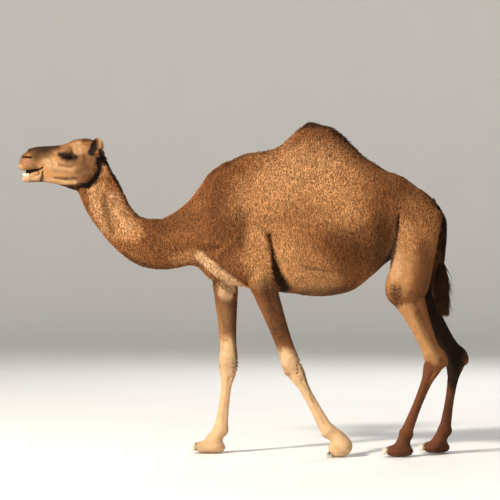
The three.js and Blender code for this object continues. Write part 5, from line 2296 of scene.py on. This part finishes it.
@dataclass
class Nails:
    """The two broad nails at the front of one foot."""

    name: str
    leg: Leg
    half: Triple = (37.0, 22.0, 28.0)  # forward, out, up
    gap: float = 1.5  # kept between a nail and the floor
    sides: int = 18
    rows: int = 9

    def nail(self, toe: int) -> Loft:
        """One nail, in millimetres, from root to edge."""
        leg, (forward, out, up) = self.leg, self.half
        rings, turns = [], circle(self.sides)
        for k in range(self.rows + 1):
            t = k / self.rows
            along = -1 + 1.9 * t
            round_off = math.sqrt(max(0.02, 1 - abs(along) ** 2.6))
            y = out * round_off * squared(np.cos(turns), 0.85)
            z = up * round_off * squared(np.sin(turns), 0.9)
            z = np.maximum(z, -0.55 * up) - 0.28 * up * max(0.0, along) ** 2
            ridge = 1 + 0.018 * math.sin(9.0 * t * math.pi)
            x = 92 + forward * along
            middle = toe * TOE_OUT
            rings.append([leg.foot_point(x, middle + a * ridge, 1 + b * ridge) for a, b in zip(y, z)])
        points, faces, run = loft(np.array(rings) * [1, leg.side, 1])
        if leg.side == RIGHT:
            faces = faces[:, ::-1]
        return points, faces, run

    def build(self) -> None:
        """Draws both nails of the foot and places them."""
        points, faces, run = joined([self.nail(toe) for toe in (-1, 1)])
        points[:, 2] = np.maximum(points[:, 2], self.gap)
        made = mesh_from_arrays(f"nails_{self.name}", to_frame(points), faces)
        write_values(made, "along", run)
        horn, edge = (0.05, 0.034, 0.026), (0.66, 0.56, 0.44)
        finish = HornFinish(f"nail horn {self.name}", horn, edge, from_end=0.66)
        nodes = nodes_with("nail", *self.name.split("_"))
        place_piece(made, f"nails_{self.name}", finish.material(), nodes)


# ------------------------------------------------------------------ lashes


@dataclass
class Lashes:
    """Stiff tapered hairs set along a line, by Geometry Nodes."""

    name: str
    roots: Array  # millimetres
    bearings: Array
    lengths: Array  # millimetres
    thickness: float = 1.1  # millimetres
    sag: float = -0.35  # how far the tip bends off the straight, as a share of the length

    def tree(self) -> bpy.types.NodeTree:
        """Node tree: a bent cone on every point, turned to its bearing and scaled to its length."""
        tree = bpy.data.node_groups.new(f"{self.name} tree", "GeometryNodeTree")
        takes = {"Geometry": "Geometry", "Thickness": "Float", "Sag": "Float", "Finish": "Material"}
        for key, kind in takes.items():
            tree.interface.new_socket(key, in_out="INPUT", socket_type=f"NodeSocket{kind}")
        tree.interface.new_socket("Geometry", in_out="OUTPUT", socket_type="NodeSocketGeometry")
        graph = Graph(tree)
        entry = graph.node("NodeGroupInput").outputs
        sizes = {"Vertices": 5, "Side Segments": 5, "Radius Top": 0.0001, "Depth": 1.0}
        sizes["Radius Bottom"] = entry["Thickness"]
        cone = graph.node("GeometryNodeMeshCone", sizes).outputs["Mesh"]
        place = graph.node("GeometryNodeInputPosition").outputs[0]
        height = graph.node("SeparateXYZ", {0: place}).outputs["Z"]
        bend = graph.math("MULTIPLY", graph.math("MULTIPLY", height, height), entry["Sag"])
        offset = graph.node("CombineXYZ", {"X": bend}).outputs[0]
        bent = graph.node("GeometryNodeSetPosition", {"Geometry": cone, "Offset": offset}).outputs[0]
        bearing, length = [
            graph.node("GeometryNodeInputNamedAttribute", {"Name": key}, data_type=kind).outputs["Attribute"]
            for key, kind in (("bearing", "FLOAT_VECTOR"), ("length", "FLOAT"))
        ]
        turn = graph.node("FunctionNodeAlignRotationToVector", {"Vector": bearing}, axis="Z").outputs[0]
        size = graph.node("CombineXYZ", {0: length, 1: length, 2: length}).outputs[0]
        sockets = {"Points": entry["Geometry"], "Instance": bent, "Rotation": turn, "Scale": size}
        spread = graph.node("GeometryNodeInstanceOnPoints", sockets).outputs[0]
        real = graph.node("GeometryNodeRealizeInstances", {0: spread}).outputs[0]
        sockets = {"Geometry": real, "Material": entry["Finish"]}
        dress = graph.node("GeometryNodeSetMaterial", sockets).outputs[0]
        graph.node("NodeGroupOutput", {"Geometry": dress})
        return tree

    def build(self) -> None:
        """Grows the hairs on the points, turns them into a mesh and places it."""
        seeds = bpy.data.meshes.new(f"{self.name} seeds")
        seeds.from_pydata(to_frame(self.roots).tolist(), [], [])
        vectors = seeds.attributes.new("bearing", "FLOAT_VECTOR", "POINT")
        vectors.data.foreach_set("vector", unit(self.bearings).astype(np.float32).ravel())
        write_values(seeds, "length", self.lengths * MM)
        holder = linked(f"{self.name} seeds", seeds)
        material = bpy.data.materials.get("lash hair") or LashFinish().material()
        grown = holder.modifiers.new("grow", "NODES")
        grown.node_group = self.tree()
        items = grown.node_group.interface.items_tree
        sockets = {item.name: item.identifier for item in items if item.in_out == "INPUT"}
        grown[sockets["Thickness"]] = self.thickness / float(np.mean(self.lengths))
        grown[sockets["Sag"]] = self.sag
        grown[sockets["Finish"]] = material
        place_piece(applied(holder, self.name), self.name, material)


def eye_lashes(side: int) -> Lashes:
    """The long upper lashes of one eye, in a double row along the lid."""
    rng = np.random.default_rng(SEED + 60)
    count = 84
    x, y, z = EYE_PLACE
    t = np.tile(np.linspace(-1, 1, count // 2), 2) + rng.normal(0, 0.02, count)
    row = np.repeat([0.0, 1.0], count // 2)
    roots = np.stack([x + 25 * t, y + 24 - 13 * t * t, z + 11 - 12 * t * t + 3 * row], 1)
    bearings = np.stack([0.75 * t - 0.12, np.full(count, 0.95), -0.36 - 0.12 * row + 0 * t], 1)
    bearings += rng.normal(0, 0.08, (count, 3))
    lengths = rng.uniform(20, 30, count) * (1 - 0.3 * np.abs(t))
    flip = np.array([1, side, 1])
    return Lashes(f"lashes_{SIDE_NAMES[side]}", roots * flip, bearings * flip, lengths)


# ------------------------------------------------------------------ tail


@dataclass
class TailHair:
    """The dark brush that hangs from the end of the tail."""

    count: int = 2600
    dark: float = 0.86  # the dark tone's share, the only tone that shows
    lock: Lock = Lock(length=105, width=5.2, lift=7, droop=0.7, wave=7, stray=7)

    def build(self) -> None:
        """Hangs locks from the tail's bone to the brush's tip and places them."""
        rng = np.random.default_rng(SEED + 70)
        rows = catmull_rom(np.array(TAIL_TUFT, dtype=float), 12)
        t = rng.random(self.count) ** 1.15 * 0.80
        at = t * (len(rows) - 1)
        low = at.astype(int)
        part = (at - low)[:, None]
        row = rows[low] * (1 - part) + rows[np.minimum(low + 1, len(rows) - 1)] * part
        bearing = rng.uniform(0, 2 * math.pi, self.count)
        out = np.stack([np.cos(bearing), np.sin(bearing), np.zeros(self.count)], 1)
        deep = rng.uniform(0.45, 0.92, self.count)[:, None]
        roots = row[:, :3] + out * row[:, 3:5].mean(1, keepdims=True) * deep
        flare = 0.22 * (rng.random(self.count) < 0.2)[:, None] * rng.random((self.count, 1))
        ways = np.array([0.06, 0, -1.0]) + out * (0.10 - 0.30 * t[:, None])
        ways = ways + rng.normal(0, 0.05, (self.count, 3))
        ways = unit(ways + flare * (out + [0.8, 0, 0]))
        normals = unit(out - ways * (out * ways).sum(1, keepdims=True))
        middle = np.linalg.norm(roots[:, :2] - row[:, :2], axis=1) / 50
        end = rows[-1, 2] - 4 + 190 * rng.random(self.count) ** 1.4 * np.clip(0.35 + middle, 0, 1)
        length = self.lock.length * rng.uniform(0.7, 1.3, self.count)
        length = np.minimum(length, np.maximum(roots[:, 2] - end, 14))
        flat = np.stack([0.5 + 0.2 * (bearing / math.pi - 1), 0.1 + 0.8 * t], 1)
        flat = np.clip(flat, 0.01, 0.99)
        lift = self.lock.lift * rng.uniform(0.2, 1.4, self.count)
        width = self.lock.width * rng.uniform(0.7, 1.25, self.count)
        locks = Locks(roots, normals, ways, flat, length, width, lift)
        mesh = locks.mesh("tail_brush", self.lock, rng)
        for tone in Tone:
            share = self.dark if tone is DARK else 0.0
            shares = np.full(len(mesh.vertices), share, np.float32)
            mesh.attributes[tone.value].data.foreach_set("value", shares)
        material = FINISHES[Cover.LONG].material()
        place_piece(mesh, "tail_brush", material, nodes_with("tuft"))


def main() -> None:
    """Builds the studio, then the camel from its hide outwards."""
    logging.basicConfig(level=logging.INFO, format="%(name)s: %(message)s")
    Studio().build()
    skin = Hide().build()
    for side in (LEFT, RIGHT):
        Eyeball(side).place()
        eye_lashes(side).build()
    Incisors().build()
    for name, leg in LEGS.items():
        Nails(name, leg).build()
    TailHair().build()
    Coat(skin, spread=1.0).build()


if __name__ == "__main__":
    main()
